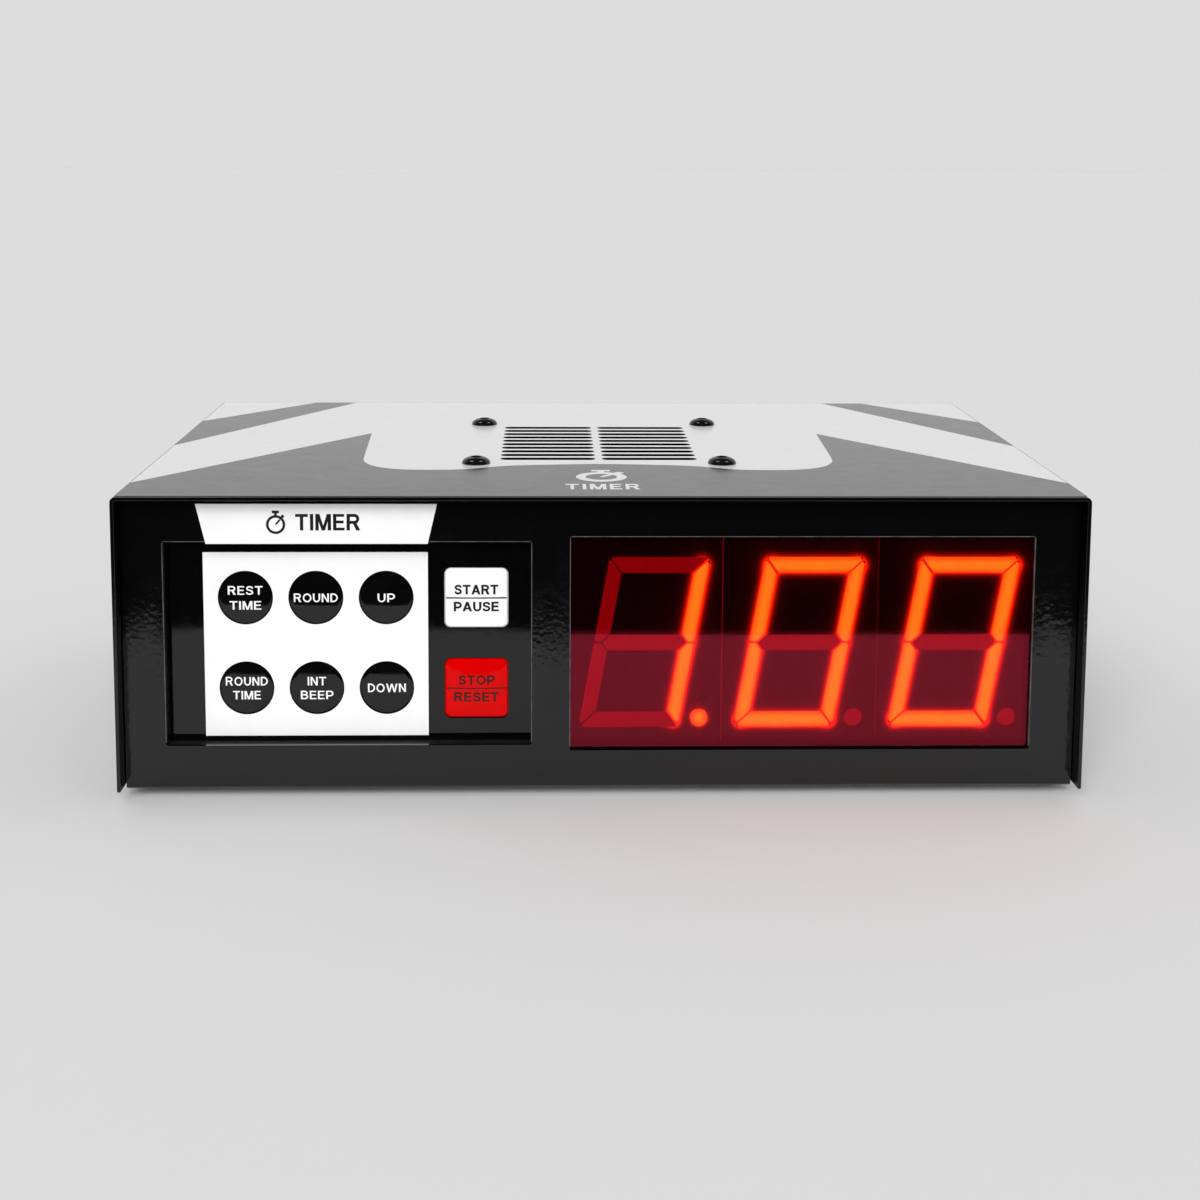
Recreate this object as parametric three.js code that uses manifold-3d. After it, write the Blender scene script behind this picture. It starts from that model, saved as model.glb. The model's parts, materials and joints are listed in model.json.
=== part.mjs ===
import * as THREE from "three";
import { mergeVertices } from "three/addons/utils/BufferGeometryUtils.js";
import Module from "manifold-3d";

// Gym round timer: a low steel box with a keypad and three seven-segment digits in its front,
// a loudspeaker under the vent in its top, and its socket, switch and volume knob in its rear.
// Millimetres. +X is to the right seen from the front, +Y to the rear, +Z up. The origin is
// under the middle of the timer, on the surface that its feet stand on.

// ---- Driving dimensions ----

const SHEET = 1.2; // steel sheet of the cover and the chassis
const GAP = 0.3; // between pieces that fit into each other
const TOUCH = 0.05; // between pieces that lie on each other

const COVER = { width: 308, depth: 202, top: 99.8, skirt: 4.5, bend: 1.8 };
const DECAL = { thickness: 0.15, inset: 1.2, corner: 1, ventMargin: 0.25 };
const FOOT = { radius: 9, height: 3, fromSide: 26, fromFront: 32 };
const CHASSIS = { bottom: FOOT.height, recess: 7, flange: 11, bend: 1.8, lip: 15, lipInset: 14 };

const COVER_SCREW = { head: 3.8, height: 2.2, shank: 1.9, length: 6, socket: 1.45 };
const COVER_SCREW_PLACE = { fromSpeaker: 62, z: 10.5 };

const VENT = { columns: 2, rows: 10, pitch: 7.5, length: 32.5, width: 4, columnPitch: 35.4 };
const SPEAKER = {
  fromFront: 101.5,
  screwPitch: 84.7,
  frame: 102,
  cornerRadius: 12,
  opening: 46,
  ringOpening: 47.5,
  neck: 36,
  depth: 26,
  wall: 1.2,
  coilHole: 14,
};
const SPEAKER_SCREW = { head: 4.85, height: 2.75, shank: 2.4, length: 9.5, socket: 1.75 };
const CONE = { edge: 42.8, rollInner: 37.2, coil: 12.6, skin: 0.8, cap: 3.2, drop: 1.6, depth: 17 };
const MAGNET = { ferrite: 35, plate: 32, chamfer: 1, topPlate: 3, ring: 12, bottomPlate: 3.5 };

const KEYPAD = { centreX: -81.15, centreZ: 50.9, width: 117.1, height: 66.8, margin: 4 };
const DISPLAY = { centreX: 63.95, centreZ: 50.75, width: 149.1, height: 70.3, margin: 4 };
const WINDOW_RADIUS = 1;
const PLATE_RADIUS = 2; // of the plates that lie behind the windows

// Keypad layers, as distances behind the front face of the front panel.
const KEY = { proud: 5.65, travel: 0.5, roundRadius: 8.5, width: 20.1, height: 19.5, corner: 1.95 };
const KEY_FLANGE = { overhang: 0.75, thickness: 0.6 };
const KEY_STEM = 3;
const KEY_HOLE = { overlay: 0.25, spacer: 1.15 }; // clearance around the keys
const LAYER = {
  frame: [SHEET + TOUCH, 6],
  overlay: [6.05, 7.05],
  spacer: [7.1, 9],
  domes: [9.05, 9.35],
  board: [9.4, 11],
  pinEnd: 12,
};
const KEYPAD_PIN = { radius: 1.2, outside: 2.2 };
const KEY_SIDES = 16; // of a round key and of the holes around it
const DOME = { radius: 5, height: 0.3 };

const DIGIT = {
  pitch: 50.3,
  bodyWidth: 48,
  bodyHeight: 69.85,
  bodyDepth: 12,
  front: 5.6,
  wall: 1.2,
  faceWall: 1.5,
  height: 56.9,
  width: 33,
  bar: 5.7,
  upright: 5.1,
  slant: Math.tan(THREE.MathUtils.degToRad(10)),
  segmentInset: 0.45,
  pocketInset: 0.15,
  pointRadius: 2.8,
  point: [17.9, -25.1],
  centreZ: 49.5,
};
const LENS = { front: 1.75, thickness: 3, tapeInset: 1 };
const BOARD = { thickness: 1.6, front: 17.9, width: 152, bottom: 5.2, top: 96 };
const STANDOFF = { radius: 2.5, stud: 1.4, studLength: 3.6, x: [0, 128], z: [8, 93.3] };
const CHIP = { x: 66, z: 62, side: 14, thickness: 1.65 };
const CAPACITOR = { x: 112, z: 76, radius: 6.5, height: 17 };

const LABEL = {
  top: 95.6,
  bottom: 82.7,
  topX: [-128.8, -52.7],
  bottomX: [-125.7, -55.7],
  thickness: 0.3,
};

const REAR = { z: 50, jackX: -112, switchX: -84, volumeX: 104 };
const JACK = {
  radius: 5.4,
  depth: 14,
  flange: 6.8,
  flangeThickness: 1.8,
  bore: 3.2,
  boreDepth: 9.5,
  pin: 1,
};
const SWITCH = { width: 12.6, height: 18.8, bezel: 1.3, bezelThickness: 1.8, depth: 16.5 };
const ROCKER = { width: 9.8, reach: 7.6, pocket: 8.7, pocketDepth: 7, pivotOut: 0.5, tilt: 9 };
const POT = { radius: 8.3, depth: 9, boss: 5, bushing: 3.4, bushingOut: 7, shaft: 3, shaftOut: 11.3 };
const NUT = { acrossCorners: 11.5, thickness: 2.2 };
const KNOB = {
  radius: 8.5,
  height: 12.5,
  standOff: 1.5,
  taper: 0.5,
  round: 1,
  hollow: 6.8,
  hollowDepth: 6.5,
  socketDepth: 10.5,
};
const POINTER = { width: 1.2, depth: 0.6, start: 2.5 };

const LEAD = { radius: 1.6, sides: 8, step: 9.6 };
const RIBBON = { x: [-40, 2], z: [40, 58], behindBoard: 5, thickness: 0.9, bend: 2.5 };

// ---- Places worked out from them ----

const TOTAL_DEPTH = COVER.depth - CHASSIS.recess + KNOB.standOff + KNOB.height;
const FRONT = -TOTAL_DEPTH / 2; // front edge of the cover
const PANEL = FRONT + CHASSIS.recess; // front face of the front panel
const REAR_FACE = FRONT + COVER.depth - CHASSIS.recess; // outer face of the rear panel
const REAR_INNER = REAR_FACE - SHEET;
const COVER_INNER_X = COVER.width / 2 - SHEET;
const COVER_UNDER = COVER.top - SHEET;
const CHASSIS_X = COVER_INNER_X - GAP;
const CHASSIS_TOP = COVER_UNDER - GAP;
const SPEAKER_Y = FRONT + SPEAKER.fromFront;
const DECAL_BOTTOM = COVER.top + TOUCH;
const DECAL_TOP = DECAL_BOTTOM + DECAL.thickness;

// ---- Materials ----

const FINISHES = {
  powderCoat: { color: 0x0c0c0d, roughness: 0.35, metalness: 0 },
  printedFilm: { color: 0xe8e8e8, roughness: 0.45, metalness: 0 },
  blackScrew: { color: 0x101011, roughness: 0.3, metalness: 0.6 },
  zinc: { color: 0x9fa1a4, roughness: 0.4, metalness: 1 },
  redAcrylic: { color: 0x8c0a14, roughness: 0.08, metalness: 0 },
  tape: { color: 0x1b1b1b, roughness: 0.9, metalness: 0 },
  blackPlastic: { color: 0x141416, roughness: 0.3, metalness: 0 },
  diffuser: { color: 0xff3a12, roughness: 0.4, metalness: 0 },
  circuitBoard: { color: 0x1d5a33, roughness: 0.5, metalness: 0 },
  clearFilm: { color: 0xc9ccd0, roughness: 0.3, metalness: 0 },
  whiteKey: { color: 0xededed, roughness: 0.2, metalness: 0 },
  redKey: { color: 0xe10000, roughness: 0.2, metalness: 0 },
  greyCable: { color: 0x8d9094, roughness: 0.6, metalness: 0 },
  blackCable: { color: 0x151515, roughness: 0.55, metalness: 0 },
  ferrite: { color: 0x2a2b2d, roughness: 0.7, metalness: 0.2 },
  paperCone: { color: 0x1a1a19, roughness: 0.85, metalness: 0 },
  rubber: { color: 0x161616, roughness: 0.9, metalness: 0 },
};

// ---- Shapes ----

const vector2 = ([x, y]) => new THREE.Vector2(x, y);
const vector3 = ([x, y, z]) => new THREE.Vector3(x, y, z);
const span = (centre, size) => [centre - size / 2, centre + size / 2];

function polygon(points) {
  return new THREE.Shape(points.map(vector2));
}

// Points along an arc, from an angle in quarter turns and over a number of quarter turns.
function arc(x, y, radius, start, quarters, steps) {
  return Array.from({ length: steps + 1 }, (_, i) => {
    const angle = ((start + (quarters * i) / steps) * Math.PI) / 2;
    return [x + radius * Math.cos(angle), y + radius * Math.sin(angle)];
  });
}

function circle(x, y, radius, sides = 8) {
  return polygon(arc(x, y, radius, 0, 4, sides).slice(0, -1));
}

function rectangle(x, y, width, height) {
  const [[left, right], [bottom, top]] = [span(x, width), span(y, height)];
  return polygon([
    [left, bottom],
    [right, bottom],
    [right, top],
    [left, top],
  ]);
}

function roundedRectangle(x, y, width, height, radius, steps = 2) {
  const [right, top] = [x + width / 2 - radius, y + height / 2 - radius];
  const [left, bottom] = [x - width / 2 + radius, y - height / 2 + radius];
  return polygon([
    ...arc(right, top, radius, 0, 1, steps),
    ...arc(left, top, radius, 1, 1, steps),
    ...arc(left, bottom, radius, 2, 1, steps),
    ...arc(right, bottom, radius, 3, 1, steps),
  ]);
}

function slot(x, y, length, width) {
  const [radius, reach, steps] = [width / 2, (length - width) / 2, 3];
  return polygon([
    ...arc(x + reach, y, radius, -1, 2, steps),
    ...arc(x - reach, y, radius, 1, 2, steps),
  ]);
}

function withHoles(shape, holes) {
  shape.holes.push(...holes);
  return shape;
}

// Moves each edge of a line of points to its left, and joins the moved edges where they cross.
function movedEdges(points, distance, closed) {
  const count = points.length;
  const edge = (i) => {
    const [from, to] = [points[i], points[(i + 1) % count]];
    const along = to.clone().sub(from).normalize();
    const side = new THREE.Vector2(-along.y, along.x).multiplyScalar(distance);
    return { start: from.clone().add(side), end: to.clone().add(side), along };
  };
  return points.map((point, i) => {
    if (!closed && i === 0) return edge(0).start;
    if (!closed && i === count - 1) return edge(count - 2).end;
    const [before, after] = [edge((i + count - 1) % count), edge(i)];
    const apart = after.start.clone().sub(before.start);
    const reach = apart.cross(after.along) / before.along.cross(after.along);
    return before.start.clone().addScaledVector(before.along, reach);
  });
}

// Rounds the square corners inside a line of points.
function roundedLine(points, radius) {
  const steps = 3;
  return points.flatMap((corner, i) => {
    if (i === 0 || i === points.length - 1) return [corner];
    const before = points[i - 1].clone().sub(corner).normalize();
    const after = points[i + 1].clone().sub(corner).normalize();
    const centre = corner.clone().addScaledVector(before, radius).addScaledVector(after, radius);
    return Array.from({ length: steps + 1 }, (_, k) => {
      const angle = ((k / steps) * Math.PI) / 2;
      const start = after.clone().multiplyScalar(-radius * Math.cos(angle));
      return centre.clone().add(start).addScaledVector(before, -radius * Math.sin(angle));
    });
  });
}

// The section of a sheet that is bent at square corners, with its thickness to the left of the line.
function bentSheet(line, thickness, bend) {
  const outer = line.map(vector2);
  const inner = movedEdges(outer, thickness, false);
  return new THREE.Shape([
    ...roundedLine(outer, bend),
    ...roundedLine(inner, bend - thickness).reverse(),
  ]);
}

// ---- Solids ----

const extruded = (shape, depth) =>
  new THREE.ExtrudeGeometry(shape, { depth, bevelEnabled: false });

// A shape drawn in X and Y, extruded upwards.
const lying = (shape, bottom, top) => extruded(shape, top - bottom).translate(0, 0, bottom);

// A shape drawn in X and Z, extruded to the rear.
const facing = (shape, front, rear) =>
  extruded(shape, rear - front).rotateX(Math.PI / 2).translate(0, rear, 0);

// A shape drawn in Y and Z, extruded to the right.
const sideways = (shape, left, right) =>
  extruded(shape, right - left)
    .applyMatrix4(
      new THREE.Matrix4().makeBasis(vector3([0, 1, 0]), vector3([0, 0, 1]), vector3([1, 0, 0])),
    )
    .translate(left, 0, 0);

function block([left, right], [front, rear], [bottom, top]) {
  return new THREE.BoxGeometry(right - left, rear - front, top - bottom).translate(
    (left + right) / 2,
    (front + rear) / 2,
    (bottom + top) / 2,
  );
}

// A solid of revolution about Y, from a profile of [radius, y] points that runs to the rear.
const turned = (profile, sides) => new THREE.LatheGeometry(profile.map(vector2), sides);

// The same about Z, from [radius, z] points that run upwards.
const turnedUpright = (profile, sides) => turned(profile, sides).rotateX(Math.PI / 2);

const wasm = await Module();
wasm.setup();

function solidOf(geometry) {
  const bare = new THREE.BufferGeometry().setAttribute("position", geometry.attributes.position);
  const merged = mergeVertices(bare.setIndex(geometry.index));
  const vertProperties = merged.attributes.position.array;
  const triVerts = new Uint32Array(merged.index.array);
  return new wasm.Manifold(new wasm.Mesh({ numProp: 3, vertProperties, triVerts }));
}

function geometryOf(solid) {
  const mesh = solid.getMesh();
  const positions = new THREE.BufferAttribute(mesh.vertProperties, mesh.numProp);
  const geometry = new THREE.BufferGeometry().setAttribute("position", positions);
  return geometry.setIndex(new THREE.BufferAttribute(mesh.triVerts, 1)).toNonIndexed();
}

const cut = (base, tools) =>
  geometryOf(tools.reduce((rest, tool) => rest.subtract(solidOf(tool)), solidOf(base)));

const join = (pieces) =>
  geometryOf(pieces.map(solidOf).reduce((whole, piece) => whole.add(piece)));

const timer = new THREE.Group();

function part(name, finish, geometry) {
  const mesh = new THREE.Mesh(geometry, new THREE.MeshStandardMaterial(FINISHES[finish]));
  mesh.geometry.computeVertexNormals();
  mesh.name = name;
  timer.add(mesh);
  return mesh;
}

// A button-head screw with a hexagon socket, pointing down, with the underside of its head at 0.
function buttonScrew({ head, height, shank, length, socket }) {
  const rim = 0.25 * height;
  const dome = arc(0, 0, 1, 0, 1, 2).map(([r, z], i, points) =>
    i === points.length - 1 ? [0, height] : [head * r, rim + (height - rim) * z],
  );
  const body = turnedUpright([[0, -length], [shank, -length], [shank, 0], [head, 0], ...dome], 12);
  const socketDepth = 0.6 * height;
  const hexagon = new THREE.CylinderGeometry(socket, socket, 2 * socketDepth, 6);
  return cut(body, [hexagon.rotateX(Math.PI / 2).translate(0, 0, height)]);
}

const corners = [-1, 1].flatMap((depth) => [-1, 1].map((side) => ({ side, depth })));
const cornerName = ({ side, depth }) =>
  (depth < 0 ? "front" : "rear") + "_" + (side < 0 ? "left" : "right");

// ---- Cover ----

const ventSlots = (clearance) =>
  Array.from({ length: VENT.rows * VENT.columns }, (_, i) => {
    const column = (i % VENT.columns) - (VENT.columns - 1) / 2;
    const row = Math.floor(i / VENT.columns) - (VENT.rows - 1) / 2;
    const [x, y] = [column * VENT.columnPitch, SPEAKER_Y + row * VENT.pitch];
    return slot(x, y, VENT.length + 2 * clearance, VENT.width + 2 * clearance);
  });

const speakerHoles = (radius) =>
  corners.map(({ side, depth }) =>
    circle((side * SPEAKER.screwPitch) / 2, SPEAKER_Y + (depth * SPEAKER.screwPitch) / 2, radius),
  );

const coverScrewY = (depth) => SPEAKER_Y + depth * COVER_SCREW_PLACE.fromSpeaker;

function sideHoles(radius) {
  const reach = COVER.width / 2 + 1;
  return [-1, 1].map((depth) => {
    const hole = new THREE.CylinderGeometry(radius, radius, 2 * reach, 10).rotateZ(Math.PI / 2);
    return hole.translate(0, coverScrewY(depth), COVER_SCREW_PLACE.z);
  });
}

function topCover() {
  const half = COVER.width / 2;
  const line = [
    [half, COVER.skirt],
    [half, COVER.top],
    [-half, COVER.top],
    [-half, COVER.skirt],
  ];
  const shell = facing(bentSheet(line, SHEET, COVER.bend), FRONT, FRONT + COVER.depth);
  const throughTop = (shape) => lying(shape, COVER_UNDER - 1, COVER.top + 1);
  return cut(shell, [
    ...ventSlots(0).map(throughTop),
    ...speakerHoles(SPEAKER_SCREW.shank + GAP).map(throughTop),
    ...sideHoles(COVER_SCREW.shank + GAP),
  ]);
}

// The printed film that covers the top, cut out over the vent.
function topDecal() {
  const [width, depth] = [COVER.width - 2 * DECAL.inset, COVER.depth - 2 * DECAL.inset];
  const sheet = roundedRectangle(0, FRONT + COVER.depth / 2, width, depth, DECAL.corner);
  const holes = [...ventSlots(DECAL.ventMargin), ...speakerHoles(SPEAKER_SCREW.shank + 2 * GAP)];
  return lying(withHoles(sheet, holes), DECAL_BOTTOM, DECAL_TOP);
}

part("top_cover", "powderCoat", topCover());
part("top_decal", "printedFilm", topDecal());
for (const corner of corners) {
  const screw = buttonScrew(COVER_SCREW).rotateY((corner.side * Math.PI) / 2);
  const x = corner.side * (COVER.width / 2 + TOUCH);
  part(
    "cover_screw_" + cornerName(corner),
    "blackScrew",
    screw.translate(x, coverScrewY(corner.depth), COVER_SCREW_PLACE.z),
  );
}

// ---- Chassis ----

const windowShape = (opening, grow, radius = WINDOW_RADIUS) =>
  roundedRectangle(
    opening.centreX,
    opening.centreZ,
    opening.width + 2 * grow,
    opening.height + 2 * grow,
    radius,
  );

function chassis() {
  const line = [
    [PANEL + CHASSIS.flange, CHASSIS_TOP],
    [PANEL, CHASSIS_TOP],
    [PANEL, CHASSIS.bottom],
    [REAR_FACE, CHASSIS.bottom],
    [REAR_FACE, CHASSIS_TOP],
    [REAR_FACE - CHASSIS.flange, CHASSIS_TOP],
  ];
  const tray = sideways(bentSheet(line, SHEET, CHASSIS.bend), -CHASSIS_X, CHASSIS_X);
  const lipY = [PANEL + CHASSIS.lipInset, REAR_FACE - CHASSIS.lipInset];
  const lipZ = [CHASSIS.bottom + SHEET / 2, CHASSIS.bottom + CHASSIS.lip];
  const lips = [-1, 1].map((side) =>
    block(span(side * (CHASSIS_X - SHEET / 2), SHEET), lipY, lipZ),
  );
  const frontCut = (shape) => facing(shape, PANEL - 1, PANEL + SHEET + 1);
  const rearCut = (shape) => facing(shape, REAR_INNER - 1, REAR_FACE + 1);
  return cut(join([tray, ...lips]), [
    frontCut(windowShape(KEYPAD, 0)),
    frontCut(windowShape(DISPLAY, 0)),
    rearCut(circle(REAR.jackX, REAR.z, JACK.radius + GAP, 20)),
    rearCut(circle(REAR.volumeX, REAR.z, POT.bushing + GAP, 20)),
    rearCut(rectangle(REAR.switchX, REAR.z, SWITCH.width + 2 * GAP, SWITCH.height + 2 * GAP)),
    ...sideHoles(COVER_SCREW.shank + GAP),
  ]);
}

part("chassis", "powderCoat", chassis());

for (const corner of corners) {
  const x = corner.side * (COVER.width / 2 - FOOT.fromSide);
  const y = FRONT + COVER.depth / 2 + corner.depth * (COVER.depth / 2 - FOOT.fromFront);
  const rim = 1;
  const profile = [
    [0, 0],
    [FOOT.radius - rim, 0],
    [FOOT.radius, rim],
    [FOOT.radius, FOOT.height - TOUCH],
    [0, FOOT.height - TOUCH],
  ];
  part("foot_" + cornerName(corner), "rubber", turnedUpright(profile, 12).translate(x, y, 0));
}

// ---- Keypad ----

const KEYS = [
  { name: "key_rest_time", x: -114.5, z: 64.5 },
  { name: "key_round", x: -92, z: 64.5 },
  { name: "key_up", x: -69.5, z: 64.5 },
  { name: "key_round_time", x: -114.5, z: 34.7 },
  { name: "key_int_beep", x: -92, z: 34.7 },
  { name: "key_down", x: -69.5, z: 34.7 },
  { name: "key_start_pause", x: -40.6, z: 64.4, square: true, finish: "whiteKey" },
  { name: "key_stop_reset", x: -40.6, z: 34.5, square: true, finish: "redKey" },
];

const keyShape = ({ x, z, square }, grow) =>
  square
    ? roundedRectangle(x, z, KEY.width + 2 * grow, KEY.height + 2 * grow, KEY.corner + grow, 3)
    : circle(x, z, KEY.roundRadius + grow, KEY_SIDES);

// One flat layer of the keypad, between two distances behind the panel's front face.
function keypadLayer([near, far], holes) {
  const plate = windowShape(KEYPAD, KEYPAD.margin, PLATE_RADIUS);
  const pinHoles = keypadPins().map(([x, z]) => circle(x, z, KEYPAD_PIN.radius + GAP));
  return facing(withHoles(plate, [...holes, ...pinHoles]), PANEL + near, PANEL + far);
}

function keypadPins() {
  const [x, z] = [KEYPAD.width, KEYPAD.height].map((size) => size / 2 + KEYPAD_PIN.outside);
  return corners.map(({ side, depth }) => [KEYPAD.centreX + side * x, KEYPAD.centreZ + depth * z]);
}

// The frame behind the panel that carries the keypad, with a pin at each corner for its layers.
function keypadFrame() {
  const [near, far] = LAYER.frame;
  const plate = windowShape(KEYPAD, KEYPAD.margin, PLATE_RADIUS);
  const ring = withHoles(plate, [windowShape(KEYPAD, GAP)]);
  const pins = keypadPins().map(([x, z]) =>
    facing(circle(x, z, KEYPAD_PIN.radius), PANEL + far - 1, PANEL + LAYER.pinEnd),
  );
  return join([facing(ring, PANEL + near, PANEL + far), ...pins]);
}

// A key: its cap, the flange that holds it behind the overlay, and the stem that reaches its dome
// at full travel, less a little clearance.
function key(place) {
  const flangeFront = LAYER.overlay[1] + TOUCH;
  const flangeRear = flangeFront + KEY_FLANGE.thickness;
  const stemEnd = LAYER.domes[0] - DOME.height - KEY.travel - 2 * TOUCH;
  const cap = facing(keyShape(place, 0), PANEL + KEY.proud, PANEL + flangeFront + TOUCH);
  const flangeShape = keyShape(place, KEY_FLANGE.overhang);
  const flange = facing(flangeShape, PANEL + flangeFront, PANEL + flangeRear);
  const stem = facing(
    circle(place.x, place.z, KEY_STEM),
    PANEL + flangeRear - TOUCH,
    PANEL + stemEnd,
  );
  return join([cap, flange, stem]);
}

function domeSheet() {
  const [near, far] = LAYER.domes;
  const domes = KEYS.map(({ x, z }) =>
    turned(
      [
        [0, -DOME.height],
        [DOME.radius / 2, -DOME.height],
        [DOME.radius, TOUCH],
        [0, TOUCH],
      ],
      8,
    ).translate(x, PANEL + near, z),
  );
  return join([keypadLayer([near, far], []), ...domes]);
}

const keyHoles = (grow) => KEYS.map((place) => keyShape(place, grow));

part("keypad_frame", "blackPlastic", keypadFrame());
part("keypad_overlay", "blackPlastic", keypadLayer(LAYER.overlay, keyHoles(KEY_HOLE.overlay)));
part("keypad_spacer", "blackPlastic", keypadLayer(LAYER.spacer, keyHoles(KEY_HOLE.spacer)));
part("dome_sheet", "clearFilm", domeSheet());
part("keypad_board", "circuitBoard", keypadLayer(LAYER.board, []));
for (const place of KEYS) part(place.name, place.finish ?? "blackPlastic", key(place));

const labelShape = polygon([
  [LABEL.bottomX[0], LABEL.bottom],
  [LABEL.bottomX[1], LABEL.bottom],
  [LABEL.topX[1], LABEL.top],
  [LABEL.topX[0], LABEL.top],
]);
part(
  "header_label",
  "printedFilm",
  facing(labelShape, PANEL - TOUCH - LABEL.thickness, PANEL - TOUCH),
);

// ---- Display ----

// The seven segments of a digit, each as a convex outline about the digit's centre.
function segmentOutlines(inset) {
  const [x, z, bar, upright] = [DIGIT.width / 2, DIGIT.height / 2, DIGIT.bar, DIGIT.upright];
  const outerMiddle = [x - upright / 2, 0];
  const topInner = [x - upright, z - bar];
  const middleInner = [x - upright, bar / 2];
  const mirrored = (points, signX, signZ) => points.map(([px, pz]) => [px * signX, pz * signZ]);
  const topBar = [[-x, z], ...mirrored([topInner], -1, 1), topInner, [x, z]];
  const rightSide = [[x, z], topInner, middleInner, outerMiddle, [x, 0]];
  const middle = [
    ...mirrored([outerMiddle], -1, 1),
    ...mirrored([middleInner], -1, -1),
    ...mirrored([middleInner], 1, -1),
    outerMiddle,
    middleInner,
    ...mirrored([middleInner], -1, 1),
  ];
  const outlines = [
    topBar,
    mirrored(topBar, 1, -1).reverse(),
    rightSide,
    mirrored(rightSide, 1, -1).reverse(),
    mirrored(rightSide, -1, 1).reverse(),
    mirrored(rightSide, -1, -1),
    middle,
  ];
  return outlines.map((outline) =>
    movedEdges(outline.map(vector2), inset, true).map((p) => [p.x + p.y * DIGIT.slant, p.y]),
  );
}

const digitCentres = [-1, 0, 1].map((i) => DISPLAY.centreX + i * DIGIT.pitch);
const DIGIT_FRONT = PANEL + DIGIT.front;

function digitShapes(centreX, inset) {
  const [pointX, pointZ] = DIGIT.point;
  const moved = (outline) => outline.map(([x, z]) => [x + centreX, z + DIGIT.centreZ]);
  return [
    ...segmentOutlines(inset).map((outline) => polygon(moved(outline))),
    circle(centreX + pointX, DIGIT.centreZ + pointZ, DIGIT.pointRadius + DIGIT.segmentInset - inset),
  ];
}

const bodyShape = (x, inset) =>
  rectangle(x, DISPLAY.centreZ, DIGIT.bodyWidth - 2 * inset, DIGIT.bodyHeight - 2 * inset);

// The black case of a digit: a pocket for each segment in its face, and open at the rear.
function digitHousing(x) {
  const rear = DIGIT_FRONT + DIGIT.bodyDepth;
  const face = bodyShape(x, 0);
  const hollow = bodyShape(x, DIGIT.wall);
  return cut(facing(face, DIGIT_FRONT, rear), [
    facing(hollow, DIGIT_FRONT + DIGIT.faceWall, rear + 1),
    ...digitShapes(x, DIGIT.pocketInset).map((shape) => facing(shape, DIGIT_FRONT - 1, rear)),
  ]);
}

// The diffuser that fills the pockets: eight raised segments on one web.
function digitSegments(x) {
  const webFront = DIGIT_FRONT + DIGIT.faceWall + GAP;
  return join([
    facing(bodyShape(x, DIGIT.wall + GAP), webFront, webFront + DIGIT.faceWall),
    ...digitShapes(x, DIGIT.segmentInset).map((shape) =>
      facing(shape, DIGIT_FRONT + DIGIT.pocketInset, webFront + TOUCH),
    ),
  ]);
}

const lensShape = () => windowShape(DISPLAY, DISPLAY.margin, PLATE_RADIUS);
const LENS_FRONT = PANEL + LENS.front;

part("display_lens", "redAcrylic", facing(lensShape(), LENS_FRONT, LENS_FRONT + LENS.thickness));
part(
  "lens_tape",
  "tape",
  facing(
    withHoles(lensShape(), [windowShape(DISPLAY, LENS.tapeInset)]),
    PANEL + SHEET + TOUCH,
    LENS_FRONT - TOUCH,
  ),
);
digitCentres.forEach((x, i) => {
  part("digit_housing_" + (i + 1), "blackPlastic", digitHousing(x));
  part("digit_segments_" + (i + 1), "diffuser", digitSegments(x));
});

const BOARD_FRONT = PANEL + BOARD.front;
const BOARD_REAR = BOARD_FRONT + BOARD.thickness;
const standoffPlaces = STANDOFF.z.flatMap((z) => STANDOFF.x.map((x) => [x, z]));

function displayBoard() {
  const [centreZ, height] = [(BOARD.top + BOARD.bottom) / 2, BOARD.top - BOARD.bottom];
  const plate = roundedRectangle(DISPLAY.centreX, centreZ, BOARD.width, height, PLATE_RADIUS);
  const holes = standoffPlaces.map(([x, z]) => circle(x, z, STANDOFF.stud + GAP));
  return facing(withHoles(plate, holes), BOARD_FRONT, BOARD_REAR);
}

part("display_board", "circuitBoard", displayBoard());
standoffPlaces.forEach(([x, z], i) => {
  const profile = [
    [0, PANEL + SHEET + TOUCH],
    [STANDOFF.radius, PANEL + SHEET + TOUCH],
    [STANDOFF.radius, BOARD_FRONT - TOUCH],
    [STANDOFF.stud, BOARD_FRONT - TOUCH],
    [STANDOFF.stud, BOARD_REAR + STANDOFF.studLength],
    [0, BOARD_REAR + STANDOFF.studLength],
  ];
  part("board_standoff_" + (i + 1), "zinc", turned(profile, 12).translate(x, 0, z));
});

function controllerChip() {
  const front = BOARD_REAR + TOUCH;
  return block(span(CHIP.x, CHIP.side), [front, front + CHIP.thickness], span(CHIP.z, CHIP.side));
}

function filterCapacitor() {
  const [front, rear] = [BOARD_REAR + TOUCH, BOARD_REAR + CAPACITOR.height];
  const profile = [
    [0, front],
    [CAPACITOR.radius, front],
    [CAPACITOR.radius, rear],
    [0, rear],
  ];
  return turned(profile, 16).translate(CAPACITOR.x, 0, CAPACITOR.z);
}

part("controller_chip", "blackPlastic", controllerChip());
part("filter_capacitor", "blackPlastic", filterCapacitor());

// ---- Loudspeaker ----

const GASKET = [COVER_UNDER - TOUCH - 1.2, COVER_UNDER - TOUCH];
const FLANGE = [GASKET[0] - TOUCH - SPEAKER.wall, GASKET[0] - TOUCH];
const RING = [FLANGE[0] - TOUCH - 3, FLANGE[0] - TOUCH];
const NECK_Z = FLANGE[0] - SPEAKER.depth;
const TERMINAL_Y = SPEAKER_Y - SPEAKER.neck - 7;
const SPEAKER_SIDES = 16;

const speakerPlate = () =>
  roundedRectangle(0, SPEAKER_Y, SPEAKER.frame, SPEAKER.frame, SPEAKER.cornerRadius);

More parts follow.
